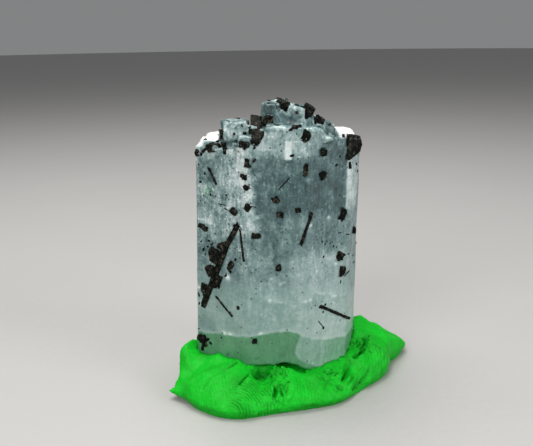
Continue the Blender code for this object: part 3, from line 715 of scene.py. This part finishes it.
FLECK_LEVEL = 0.655  # the higher, the fewer flecks
fleck = noise_value(tree, place, 2900.0, detail=2.0, roughness=0.5)
fleck = calculate(tree, "GREATER_THAN", fleck, FLECK_LEVEL)
fleck = calculate(tree, "MULTIPLY", fleck, unrest)
tone = calculate(tree, "MULTIPLY_ADD", fleck, 0.18, tone)
beryl_colour = colour_steps(
    tree,
    tone,
    (
        (0.1, (0.007, 0.02, 0.022)),
        (0.32, (0.039, 0.09, 0.094)),
        (0.45, (0.096, 0.168, 0.166)),
        (0.6, (0.2, 0.3, 0.29)),
        (0.75, (0.39, 0.48, 0.47)),
        (0.95, (0.7, 0.76, 0.75)),
    ),
)
# the putty's green, painted where it is seen through the foot, and a green stain, multiply the colour
SEEN_PUTTY_AND_STAIN_GREEN = (0.48, 1.05, 0.5, 1.0)
greened = mix_colours(tree, mask["Green"], beryl_colour, SEEN_PUTTY_AND_STAIN_GREEN, "MULTIPLY")
inclusion = add_node(
    tree, "ShaderNodeTexVoronoi", {"Vector": place, "Scale": 1400.0, "Randomness": 1.0}
)
chosen = add_node(tree, "ShaderNodeSeparateColor", {"Color": inclusion.outputs["Color"]}).outputs
DOT_REACH = 0.19  # of the way between dots
DOT_SHARE = 0.42  # of the cells hold one, where the stone is most restless
dots = calculate(
    tree,
    "MULTIPLY",
    calculate(tree, "LESS_THAN", inclusion.outputs["Distance"], DOT_REACH),
    calculate(tree, "LESS_THAN", chosen["Red"], calculate(tree, "MULTIPLY", unrest, DOT_SHARE)),
)
DOT_COLOUR = (0.03, 0.045, 0.045, 1.0)
dotted = mix_colours(tree, dots, greened, DOT_COLOUR)
# the tops of the shoulders are painted white, mostly where they face upwards
shoulder_white_colour = colour_steps(
    tree,
    calculate(tree, "ADD", cloud["Mottle"], 0.5),
    ((0.36, (0.42, 0.47, 0.46)), (0.47, (0.74, 0.77, 0.76)), (0.62, (0.92, 0.93, 0.92))),
)
whitened = mix_colours(tree, mask["Blue"], dotted, shoulder_white_colour)
feed(tree, shader, {
    "Base Color": whitened,
    "Normal": bump_normal(tree, striae["Height"], strength=0.6, distance=0.00004),
    "Roughness": calculate(tree, "MULTIPLY_ADD", unrest, 0.22, 0.24),
    "IOR": 1.57,
    "Transmission Weight": 0.25,
})
depth = add_node(
    tree, "ShaderNodeVolumeAbsorption", {"Color": (0.55, 0.85, 0.8, 1.0), "Density": 60.0}
)
feed(tree, tree.nodes["Material Output"], {"Volume": depth.outputs["Volume"]})

crystal = add_object("aquamarine", crystal_bm, cloudy_beryl)
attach(crystal, "root")
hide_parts("aquamarine_crystal")


# ---- Black tourmaline ----
# Stubby striated crystals, needles and one long broken rod, all grown into the aquamarine. Each is
# a single crystal with chipped edges, half sunk in the face that holds it.

schorl, tree, shader, place = new_material("schorl")
schorl_grain = grain_node(tree, place, blotch=1800.0, fine=5200.0)
schorl_colour = colour_steps(
    tree,
    schorl_grain["Mottle"],
    (
        (0.0, (0.0015, 0.002, 0.0015)),
        (0.03, (0.006, 0.007, 0.005)),
        (0.09, (0.04, 0.038, 0.026)),
        (0.17, (0.11, 0.104, 0.074)),
    ),
)
feed(tree, shader, {
    "Base Color": schorl_colour,
    "Normal": bump_normal(tree, schorl_grain["Height"], strength=0.8, distance=0.00006),
    "Roughness": 0.65,
    "IOR": 1.62,
    "Specular IOR Level": 0.05,
})

CHIP_BEVEL = 0.05
SPLINTER = 0.004  # edges shorter than this are merged away
SCHORL_EDGE = 0.2  # the longest edge of the finished mesh
LONG_CRYSTAL = 2.6  # longer ones keep their grooved faces, and shorter ones are lumpy
FLAT_ANGLE = math.radians(3)
GROOVE_DEPTH = 0.07
FINE_DEPTH = 0.03
CHIP_DEPTH = 0.05
LUMP_DEPTH = 0.16
LUMP_CHIP_DEPTH = 0.08
# Crown grains that are broken back: the point that stays, and what is left of their size there.
BROKEN_BACK = {
    "tourmaline_crown_rim": ((-3.4, -8.8, 36.9), (0.52, 1.0, 0.62)),
    "tourmaline_crown_left": ((-0.9, -7.5, 39.6), (0.8, 0.95, 0.8)),
    "tourmaline_block_side": ((-7.0, -5.6, 37.9), (0.72, 1.0, 0.64)),
    "tourmaline_summit": ((1.8, -6.5, 42.0), (0.72, 1.0, 0.78)),
    "tourmaline_wedge": ((4.4, -9.3, 37.0), (0.9, 1.0, 0.84)),
    "tourmaline_crown_scar": ((4.0, -9.3, 38.3), (0.8, 1.0, 0.82)),
    "tourmaline_ridge_high": ((4.9, -6.7, 40.8), (0.84, 1.0, 0.88)),
}
# A needle that lies a little across its groove: the point it swings about, the azimuth of its face,
# how far it swings in that face, both in degrees, and how far it slides along the face.
TURNED_NEEDLES = {"tourmaline_needle_2": ((6.04, -8.68, 13.34), -56.0, 6.6, 0.4)}


def fin_faces(bm):
    """Finds the faces that lie back to back on the same corners, which enclose nothing."""
    partners = {}
    for face in bm.faces:
        partners.setdefault(frozenset(face.verts), []).append(face)
    return [face for faces in partners.values() if len(faces) > 1 for face in faces]


def finely_divided(bm, edge_length):
    """Divides a mesh's triangles until no edge is longer than the given length."""
    bmesh.ops.triangulate(bm, faces=bm.faces[:])
    for _ in range(6):
        long_edges = [edge for edge in bm.edges if edge.calc_length() > edge_length]
        if not long_edges:
            break
        bmesh.ops.subdivide_edges(bm, edges=long_edges, cuts=1, use_grid_fill=True)
        bmesh.ops.triangulate(bm, faces=bm.faces[:])
    fins = fin_faces(bm)
    while fins:
        bmesh.ops.delete(bm, geom=fins, context="FACES")
        fins = fin_faces(bm)


def chipped(bm, seed):
    """Breaks the edges of a CAD grain, grooves it along its length and roughens it."""
    corners = [vert.co.copy() for vert in bm.verts]
    spans = ((first - second, (first + second) / 2) for first in corners for second in corners)
    longest, middle = max(spans, key=lambda span: span[0].length)
    axis = longest.normalized()
    slender = longest.length > LONG_CRYSTAL
    bmesh.ops.dissolve_limit(bm, angle_limit=FLAT_ANGLE, verts=bm.verts, edges=bm.edges)
    bmesh.ops.bevel(
        bm,
        geom=bm.edges[:],
        offset=CHIP_BEVEL,
        segments=1,
        profile=0.5,
        affect="EDGES",
        material=-1,
        clamp_overlap=True,
    )
    bmesh.ops.remove_doubles(bm, verts=bm.verts, dist=SPLINTER)
    bmesh.ops.dissolve_degenerate(bm, dist=SPLINTER, edges=bm.edges[:])
    finely_divided(bm, SCHORL_EDGE)
    bm.normal_update()
    away = Vector((seed * 3.7, seed * 1.9, 0))
    shifts = []
    for vert in bm.verts:
        arm = vert.co - middle
        along = arm.dot(axis)
        across = (arm - axis * along) * 5.5 + axis * along * 0.4
        groove = noise.noise(across + away)
        shape = noise.noise(vert.co * 1.3 + away)
        chip = soft_step(noise.noise(vert.co * 2.2 + away * 2), 0.15, 0.4)
        fine = noise.noise(vert.co * 6.0 + away)
        rise = GROOVE_DEPTH * groove + FINE_DEPTH * fine - CHIP_DEPTH * chip
        if not slender:
            rise = rise + LUMP_DEPTH * shape - LUMP_CHIP_DEPTH * chip
        shifts.append(vert.normal * rise)
    for vert, shift in zip(bm.verts, shifts):
        vert.co += shift
    return bm


for seed, node in enumerate(sorted(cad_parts)):
    if not node.startswith("tourmaline_"):
        continue
    grain_bm = node_copy(node)
    if node in BROKEN_BACK:
        kept_point, left_over = BROKEN_BACK[node]
        stay = Matrix.Translation(-Vector(kept_point))
        bmesh.ops.scale(grain_bm, vec=left_over, space=stay, verts=grain_bm.verts)
    if node in TURNED_NEEDLES:
        pivot, azimuth, swing, slide = TURNED_NEEDLES[node]
        outward = Vector((math.cos(math.radians(azimuth)), math.sin(math.radians(azimuth)), 0.0))
        swung = Matrix.Rotation(math.radians(swing), 3, outward)
        bmesh.ops.rotate(grain_bm, cent=pivot, matrix=swung, verts=grain_bm.verts)
        slid = Vector((-outward.y, outward.x, 0)) * slide
        bmesh.ops.translate(grain_bm, vec=slid, verts=grain_bm.verts)
    grain_name = node.replace("tourmaline", "schorl")
    grain_piece = add_object(grain_name, chipped(grain_bm, seed), schorl)
    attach(grain_piece, "root")
    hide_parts(node)


# ---- Tourmaline specks ----
# Grains and slivers of the same black tourmaline, too small to stand alone, that pepper the faces
# and the crown. Each one is a chipped splinter, half sunk in the aquamarine.

# On the display side: x, height, length, width, and how far it leans to the right in degrees.
SPECKS = (
    (2.28, 35.19, 0.6, 0.35, 80), (9.42, 37.25, 0.47, 0.38, 0), (-10.38, 30.96, 0.41, 0.31, 90),
    (-8.38, 31.37, 0.44, 0.38, 20), (-9.7, 32.2, 0.35, 0.31, 0), (-8.94, 29.29, 0.38, 0.22, 0),
    (-8.18, 29.13, 0.22, 0.19, 0), (-2.74, 34.6, 0.6, 0.28, 30), (-4.61, 32.34, 0.25, 0.22, 0),
    (8.42, 33.35, 0.44, 0.28, 60), (8.92, 34.51, 0.28, 0.25, 0), (10.43, 33.07, 1.0, 0.45, 0),
    (-5.42, 37.82, 0.35, 0.31, 0), (-4.36, 38.9, 0.4, 0.2, -20), (-6.15, 39.36, 0.3, 0.22, 30),
    (-3.91, 37.85, 0.35, 0.22, 0), (-7.67, 36.05, 0.8, 0.4, 10), (-5.13, 36.93, 2.3, 0.24, 84),
    (-6.74, 35.63, 0.94, 0.47, 0), (-8.39, 36.2, 0.94, 0.35, 60), (-9.67, 35.42, 0.8, 0.4, 50),
    (-10.12, 34.89, 0.63, 0.35, 10), (-10.03, 20.46, 0.3, 0.22, 60), (-9.43, 22.56, 0.41, 0.25, 80),
    (-10.27, 21.12, 0.53, 0.31, 30), (-9.01, 22.11, 0.63, 0.28, 50), (-10.58, 22.29, 0.31, 0.22, 60),
    (-9.63, 21.66, 0.35, 0.25, 80), (-5.38, 13.34, 0.57, 0.47, 0), (6.33, 10.55, 1.5, 0.15, -40),
    (6.73, 9.83, 0.38, 0.31, 0), (6.97, 13.36, 0.31, 0.28, 0), (6.2, 13.15, 0.35, 0.28, 0),
    (6.66, 12.25, 0.31, 0.25, 0), (-11.45, 8.73, 0.38, 0.16, 70), (-7.11, 28.05, 1.7, 0.13, -83),
    (-6.79, 27.5, 0.53, 0.16, -70), (9.07, 23.58, 0.63, 0.14, 90), (10.25, 23.13, 0.63, 0.16, 100),
    (6.45, 22.89, 0.31, 0.22, 0), (6.89, 22.36, 0.28, 0.19, 40), (7.15, 22.74, 0.25, 0.19, 0),
    (7.59, 22.3, 0.35, 0.19, 60), (7.94, 22.48, 0.25, 0.16, 0), (8.12, 21.84, 0.31, 0.22, 30),
    (8.57, 21.56, 0.25, 0.16, 0), (-10.27, 15.42, 0.57, 0.41, 0), (-9.93, 14.75, 0.38, 0.28, 30),
    (-10.57, 14.29, 0.41, 0.25, 0), (11.47, 17.83, 0.25, 0.19, 0), (10.49, 20.14, 0.53, 0.16, 80),
    (11.43, 18.99, 0.47, 0.16, 90), (10.26, 17.23, 1.26, 0.16, 60), (-5.63, 20.45, 0.47, 0.31, 30),
    (-6.38, 18.48, 0.41, 0.28, 20), (-5.68, 25.36, 0.47, 0.25, 40), (-7.06, 17.84, 0.47, 0.31, 40),
    (-8.12, 15.91, 0.53, 0.28, 20), (-11.24, 14.15, 0.63, 0.25, -20), (-11.2, 12.79, 0.47, 0.22, 10),
    (-8.87, 17.85, 0.31, 0.22, 0), (-10.52, 33.36, 0.31, 0.19, 0), (5.47, 13.6, 0.22, 0.16, 0),
    (-3.3, 28.3, 1.5, 0.12, -82), (1.2, 31.4, 2.3, 0.16, 42), (9.3, 16.2, 0.5, 0.18, 10),
    (-11.0, 7.2, 1.1, 0.6, 20), (-10.5, 6.6, 0.9, 0.6, -30), (-10.9, 6.0, 1.1, 0.45, 15),
    (-10.1, 7.4, 0.7, 0.5, 60), (-9.7, 6.9, 0.5, 0.3, -50), (-8.0, 8.2, 0.25, 0.2, 0),
    (-2.4, 37.2, 1.0, 0.8, 20), (-3.0, 36.9, 0.8, 0.5, -15), (-1.9, 37.6, 0.8, 0.55, 35),
    (-1.6, 38.15, 0.7, 0.5, 10), (-2.7, 36.4, 0.6, 0.3, 5), (-3.2, 38.2, 0.7, 0.5, 0),
    (-4.0, 36.1, 0.4, 0.3, 40),
)
# More, scattered over the rear and the flanks: how many, their angle round the crystal, the squares
# of their heights over 36, and their width. They lie closer together towards the crown.
SCATTERED_SPECKS = 64
SCATTER_ANGLES = (-0.9, math.pi + 0.9)
SCATTER_HEIGHTS = (8, 36)
SCATTER_WIDTHS = (0.12, 0.3)
# And over the crown: how many, the area they fall on, their width, and the slopes they fall along.
CROWN_SPECKS = 80
CROWN_AREA = ((-8.5, 9.0), (-9.2, 2.5))
CROWN_WIDTHS = (0.15, 0.5)
CROWN_SLOPES = ((-0.3, 0.3), (-0.2, 0.9))
OUTSIDE = 30.0  # well outside the prism
SPECK_SUNK = 0.12  # of a speck's width


def add_speck(target, origin, towards, length, width, lean, chance):
    """Sets a splinter into the crystal where a line from origin first meets it."""
    place, normal = crystal_tree.ray_cast(origin, towards)[:2]
    if place is None:
        return
    splinter = chipped_block((width, width * 0.8, length), chance, cuts=5)
    side = Vector((0, 0, 1)).cross(normal)
    side = side.normalized() if side.length > 0.1 else Vector((1, 0, 0))
    rise = normal.cross(side)
    seat = Matrix((side, -normal, rise)).transposed().to_4x4()
    tilt = Matrix.Rotation(math.radians(lean), 4, "Y")
    add_shape(target, splinter, Matrix.Translation(place - normal * SPECK_SUNK * width) @ seat @ tilt)


chance = random.Random(29)
specks_bm = bmesh.new()
for x, height, length, width, lean in SPECKS:
    origin = Vector((x, -OUTSIDE, height))
    add_speck(specks_bm, origin, Vector((0, 1, 0)), length, width, lean, chance)
for _ in range(SCATTERED_SPECKS):
    around = chance.uniform(*SCATTER_ANGLES)
    outward = Vector((math.cos(around), math.sin(around), 0))
    height = chance.uniform(*SCATTER_HEIGHTS) ** 0.5 * 6.0
    width = chance.uniform(*SCATTER_WIDTHS)
    length = width * chance.uniform(1.0, 2.2)
    origin = outward * OUTSIDE + Vector((0, 0, height))
    add_speck(specks_bm, origin, -outward, length, width, chance.uniform(0, 180), chance)
for _ in range(CROWN_SPECKS):
    x, y = (chance.uniform(*reach) for reach in CROWN_AREA)
    slope = Vector([chance.uniform(*reach) for reach in CROWN_SLOPES] + [-1.0]).normalized()
    width = chance.uniform(*CROWN_WIDTHS)
    length = width * chance.uniform(1.0, 1.8)
    origin = Vector((x, y, SKY_HEIGHT)) - Vector((slope.x, slope.y, 0)) * 20
    add_speck(specks_bm, origin, slope, length, width, chance.uniform(0, 180), chance)
specks = add_object("schorl_specks", specks_bm, schorl)
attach(specks, "root")


# ---- Putty ----
# A lump of soft modelling putty, pressed round the crystal's foot by hand. It keeps the prints,
# creases, holes and torn crumbs of the fingers that shaped it.

PUTTY_VOXEL = 0.28
# Finger prints: the centre their ridges run round, the middle and reach of the printed patch, the
# spacing of the ridges and their height. A far centre gives nearly straight ridges.
PRINTS = (
    ((-6.6, -16.8, 1.2), (-3.3, -14.4, 2.6), 4.2, 0.43, 0.065),
    ((-45.0, -16.0, -8.0), (-8.4, -13.2, 3.4), 4.2, 0.4, 0.026),
    ((-36.0, -14.0, 2.0), (4.1, -13.0, 2.8), 2.3, 0.46, 0.03),
    ((-20.0, -6.0, 4.0), (15.4, -4.4, 3.2), 2.3, 0.5, 0.055),
    ((6.0, 17.5, 1.0), (7.4, 12.0, 3.2), 3.4, 0.5, 0.06),
    ((-13.5, 14.0, 3.0), (-8.6, 10.6, 3.2), 3.2, 0.48, 0.06),
    ((-21.0, 1.0, 2.0), (-13.6, 3.0, 3.0), 2.8, 0.48, 0.05),
    ((19.0, 12.0, 0.0), (14.6, 7.6, 4.2), 2.8, 0.5, 0.04),
)
# Creases: (x, y) points, half width and depth.
CREASES = (
    (((-5.8, -9.4), (-6.3, -10.0), (-6.9, -10.5)), 0.16, 0.45),
    (((-6.9, -10.5), (-7.8, -11.2), (-9.0, -12.1), (-10.4, -13.0)), 0.14, 0.14),
    (((-5.3, -13.3), (-4.6, -12.5), (-3.9, -11.3)), 0.17, 0.4),
    (((-0.45, -13.1), (-0.2, -13.8), (-0.35, -14.4)), 0.2, 0.4),
    (((0.35, -13.7), (0.75, -14.5)), 0.16, 0.32),
    (((1.5, -13.0), (1.2, -13.7)), 0.14, 0.25),
    (((-0.9, -11.0), (-0.5, -12.2)), 0.18, 0.3),
    (((13.8, -1.6), (13.3, -3.1), (12.5, -4.6), (11.6, -5.8)), 0.36, 0.75),
    (((15.6, -0.7), (16.5, -0.9), (17.3, -1.5)), 0.15, 0.25),
    (((14.6, -2.6), (16.4, -3.4)), 0.14, 0.22),
    (((-3.0, 12.6), (0.5, 11.4), (3.0, 12.2)), 0.2, 0.45),
    (((-12.4, 6.0), (-11.5, 8.4)), 0.18, 0.3),
)
# Holes and pits: x, y, radius and depth.
PITS = (
    (-2.1, -9.7, 0.95, 1.2), (-2.9, -10.5, 0.55, 0.6), (6.8, -10.5, 0.36, 0.35),
    (7.75, -11.1, 0.28, 0.3), (8.9, -11.2, 0.48, 0.6), (8.1, -12.1, 0.2, 0.25),
    (5.8, -10.8, 0.22, 0.2), (10.4, -6.2, 0.5, 0.35), (-1.0, 11.6, 0.6, 0.5), (12.6, 9.2, 0.4, 0.3),
)
# Torn, crumbly patches: x, y, reach and roughness.
TORN_PATCHES = (
    (0.3, -10.4, 1.7, 0.3), (0.4, -13.0, 1.6, 0.24), (12.9, -3.0, 1.6, 0.34),
    (-2.3, -9.9, 1.4, 0.22), (7.6, -9.6, 1.2, 0.14), (1.0, 11.8, 1.8, 0.2),
)
# Pushes that reshape the lump: x, y, height above the table, reach, and how far it moves along x, y
# and z.
PUSHES = (
    (2.6, -12.4, 3.1, 2.4, (0.0, -0.1, 0.2)), (16.2, -3.4, 3.6, 2.4, (0.1, -0.1, 0.25)),
    (9.6, -9.9, 2.4, 1.6, (0.0, -0.1, 0.2)), (-13.6, -4.6, 6.0, 4.6, (0.1, -0.1, 0.75)),
    (-15.4, -5.0, 2.0, 3.6, (0.85, 0.0, 0.0)), (-9.0, -8.6, 5.2, 4.4, (0.0, 0.0, 0.95)),
    (-14.0, -5.0, 6.2, 3.4, (-0.55, -0.1, 0.0)), (-15.0, -7.0, 2.4, 3.2, (0.75, 0.1, 0.0)),
    (11.1, -4.2, 5.4, 3.2, (0.0, 0.0, -0.8)), (11.8, -2.2, 6.3, 2.8, (0.0, 0.0, -1.2)),
)
# Folded, torn cliffs: x, y, height above the table, reach and rise.
FOLDS = (
    (11.3, -8.2, 2.6, 3.3, 1.15), (0.4, -13.6, 2.6, 1.9, 0.55), (7.2, -11.4, 2.4, 1.9, 0.35),
)
# A thin tip that is pinched out at the left: its root, its point, its radius at both, and how flat.
TIP_ROOT = Vector((-13.2, -9.9, 1.2))
TIP_POINT = Vector((-15.7, -9.5, 1.2))
TIP_RADII = (1.5, 0.22)
TIP_FLATNESS = 0.55
# The lowest edge curls under, off the table, by this much.
CURL = 0.42


def window(distance, reach):
    """1 in the middle of a patch, falling softly to 0 at its reach."""
    return soft_step(-distance, -reach, -0.6 * reach)


def off_line(line, x, y):
    """Distance in plan from a broken line."""
    nearest = 1e9
    for (x0, y0), (x1, y1) in zip(line, line[1:]):
        run, rise = x1 - x0, y1 - y0
        share = ((x - x0) * run + (y - y0) * rise) / (run * run + rise * rise)
        share = min(1.0, max(0.0, share))
        nearest = min(nearest, math.hypot(x - x0 - share * run, y - y0 - share * rise))
    return nearest


def push_at(point):
    """How far the pushes move a point."""
    moved = Vector()
    for middle_x, middle_y, middle_z, reach, way in PUSHES:
        distance = (point - Vector((middle_x, middle_y, middle_z))).length
        moved += Vector(way) * soft_step(-distance, -reach, 0.0)
    return moved


def putty_relief(point, upward):
    """How far the putty stands out at a point, and how deep in a mark it lies (0 to 1), for painted
    shade.
    """
    x, y, z = point
    from_above = soft_step(upward, 0.05, 0.45)
    rise = 0.1 * noise.noise(point * 0.5) + 0.045 * noise.noise(point * 1.5)
    rise += 0.016 * noise.noise(point * 4.5)
    rise += 0.05 * noise.noise(point * 6.5) * soft_step(x, -1.5, 0.5) * soft_step(-x, -14.0, -11.0)
    rim = soft_step(-z, -1.9, -0.5)
    rise += rim * (0.17 * noise.noise(point * 0.85) + 0.1 * noise.noise(point * 2.3))
    deep = 0.0
    for middle_x, middle_y, middle_z, reach, gain in FOLDS:
        distance = (point - Vector((middle_x, middle_y, middle_z))).length
        if distance < reach:
            fold = noise.noise(Vector(((x - 0.4 * y) * 1.25, z * 0.4, 7.0)))
            fold += 0.5 * noise.noise(Vector(((x - 0.4 * y) * 2.8, z * 0.7, 3.0)))
            rise += gain * window(distance, reach) * fold
            deep = max(deep, 0.6 * window(distance, reach) * soft_step(-fold, 0.1, 0.5))
    for whorl, middle, reach, spacing, height in PRINTS:
        distance = (point - Vector(middle)).length
        if distance < reach:
            pressed = window(distance, reach) * soft_step(noise.noise(point * 1.1), -0.55, 0.25)
            run = (point - Vector(whorl)).length + 0.16 * noise.noise(point * 0.8)
            wave = math.cos(math.tau * run / spacing)
            rise += height * pressed * wave
            deep = max(deep, pressed * min(1.0, height / 0.07) * max(0.0, -wave))
    for line, half_width, depth in CREASES:
        distance = off_line(line, x, y)
        if distance < 3 * half_width:
            cut = math.exp(-((distance / half_width) ** 2))
            lip = math.exp(-(((distance - 2 * half_width) / half_width) ** 2))
            rise += depth * (0.18 * lip - cut) * from_above
            deep = max(deep, cut * min(1.0, depth * 2.5) * from_above)
    for middle_x, middle_y, radius, depth in PITS:
        distance = math.hypot(x - middle_x, y - middle_y) / radius
        if distance < 2:
            cut = math.exp(-(distance ** 3)) * from_above
            rise -= depth * cut
            deep = max(deep, cut * min(1.0, depth * 2.0))
    for middle_x, middle_y, reach, roughness in TORN_PATCHES:
        distance = math.hypot(x - middle_x, y - middle_y)
        if distance < reach:
            torn = noise.noise(point * 2.3 + Vector((4, 4, 4))) + 0.6 * noise.noise(point * 5.0)
            rise += roughness * window(distance, reach) * torn * 1.6
            deep = max(deep, 0.6 * window(distance, reach) * soft_step(-torn, 0.05, 0.6))
    return rise, deep


putty_bm = node_copy("putty_base")
tip_bm = bmesh.new()
bmesh.ops.create_cone(
    tip_bm,
    cap_ends=True,
    segments=14,
    radius1=TIP_RADII[0],
    radius2=TIP_RADII[1],
    depth=(TIP_POINT - TIP_ROOT).length,
)
flatten = Matrix.Diagonal((TIP_FLATNESS, 1.0, 1.0, 1.0))
tip_turn = (TIP_POINT - TIP_ROOT).to_track_quat("Z", "X").to_matrix().to_4x4()
add_shape(putty_bm, tip_bm, Matrix.Translation((TIP_ROOT + TIP_POINT) / 2) @ tip_turn @ flatten)
putty_bm = evenly_meshed(putty_bm, PUTTY_VOXEL)
soften(putty_bm, 0.5)
soften(putty_bm, 0.5)


def divide_near(bm, wanted):
    """Halves the edges of the faces around every point that is wanted."""
    edges = [edge for edge in bm.edges if wanted(edge.verts[0].co) and wanted(edge.verts[1].co)]
    bmesh.ops.subdivide_edges(bm, edges=edges, cuts=1, use_grid_fill=True)
    bmesh.ops.triangulate(bm, faces=[face for face in bm.faces if len(face.verts) > 4])


UNDERSIDE = 0.25
FRONT_WALL = -8.5
CLEAREST_PRINTS = (PRINTS[0], PRINTS[2], PRINTS[3])


def in_marks(point):
    """Whether a point of the putty lies in a print, a torn patch or on the display side."""
    if point.z < UNDERSIDE:
        return False
    if point.y < FRONT_WALL:
        return True
    if any(math.hypot(point.x - x, point.y - y) < reach for x, y, reach, _ in TORN_PATCHES):
        return True
    return any((point - Vector(middle)).length < reach for _, middle, reach, _, _ in PRINTS)


def in_clear_print(point):
    """Whether a point lies in one of the clearest prints, which need the finest mesh."""
    return any((point - Vector(middle)).length < reach for _, middle, reach, _, _ in CLEAREST_PRINTS)


divide_near(putty_bm, in_marks)
divide_near(putty_bm, in_clear_print)
putty_bm.normal_update()
# the depth in the marks is kept in the pressed attribute, and paints shade into their hollows
mark_shade_layer = putty_bm.verts.layers.float_color.new("pressed")
shifts = []
for vert in putty_bm.verts:
    rise, deep = putty_relief(vert.co, vert.normal.z)
    on_top = soft_step(vert.co.z, 0.05, 0.6) * soft_step(vert.normal.z, -0.95, -0.4)
    vert[mark_shade_layer] = (deep * on_top, 0.0, 0.0, 1.0)
    shifts.append((vert.normal * rise + push_at(vert.co)) * on_top)
for vert, shift in zip(putty_bm.verts, shifts):
    under = CURL * soft_step(-vert.co.z, -0.9, -0.05) * (1 - abs(vert.normal.z))
    shift -= Vector((vert.normal.x, vert.normal.y, 0.0)) * under
    vert.co += shift
    vert.co.z = max(vert.co.z, 0.0)

# The seat is pressed tight against the crystal, and keeps a hair of room.
SEAT_REACH = 0.5
SEAT_ROOM = 0.02
for vert in putty_bm.verts:
    beside, outward, _, distance = crystal_tree.find_nearest(vert.co, SEAT_REACH)
    if beside is not None:
        vert.co = beside + outward * SEAT_ROOM

# Loose crumbs that cling in the torn patches.
CRUMB_COUNT = 70
CRUMB_WIDTHS = (0.18, 0.5)
CRUMB_SUNK = 0.1  # of a crumb's width
chance = random.Random(41)
putty_tree = BVHTree.FromBMesh(putty_bm)
for _ in range(CRUMB_COUNT):
    middle_x, middle_y, reach, _ = chance.choice(TORN_PATCHES)
    x, y = middle_x + chance.gauss(0, reach * 0.45), middle_y + chance.gauss(0, reach * 0.45)
    seat = putty_tree.ray_cast(Vector((x, y, 8.5)), DOWN)[0]
    if seat is None or seat.z < 0.5:
        continue
    width = chance.uniform(*CRUMB_WIDTHS)
    crumb_bm = chipped_block((width, width * 0.8, width * 0.7), chance, cuts=7, least=0.75)
    turned = chance.uniform(0, math.tau)
    spin = Matrix.Rotation(turned, 4, Vector((chance.random(), 1, chance.random())))
    add_shape(putty_bm, crumb_bm, Matrix.Translation(seat + DOWN * CRUMB_SUNK * width) @ spin)

modelling_putty, tree, shader, place = new_material("modelling_putty")
putty_grain = grain_node(tree, place, blotch=260.0, fine=3200.0)
putty_colour = colour_steps(
    tree,
    calculate(tree, "ADD", putty_grain["Mottle"], 0.2),
    ((0.08, (0.001, 0.25, 0.006)), (0.2, (0.0018, 0.32, 0.01)), (0.34, (0.004, 0.4, 0.016))),
)
# painted shade: the putty is darkened in the hollows of its prints, creases, pits, folds and tears
pressed = add_node(tree, "ShaderNodeAttribute", attribute_name="pressed")
mark_shade = add_node(tree, "ShaderNodeSeparateColor", {"Color": pressed.outputs["Color"]})
mark_shade = calculate(tree, "MULTIPLY", mark_shade.outputs["Red"], 0.6)
SHADE_GREEN = (0.0005, 0.11, 0.003, 1.0)
shaded = mix_colours(tree, mark_shade, putty_colour, SHADE_GREEN)
feed(tree, shader, {
    "Base Color": shaded,
    "Normal": bump_normal(tree, putty_grain["Height"], strength=0.5, distance=0.00004),
    "Roughness": 0.55,
    "Specular IOR Level": 0.14,
    "Subsurface Weight": 0.1,
    "Subsurface Radius": (0.1, 1.0, 0.2),
    "Subsurface Scale": 0.0003,
})
putty = add_object("putty", putty_bm, modelling_putty)
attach(putty, "root")
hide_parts("putty_base")
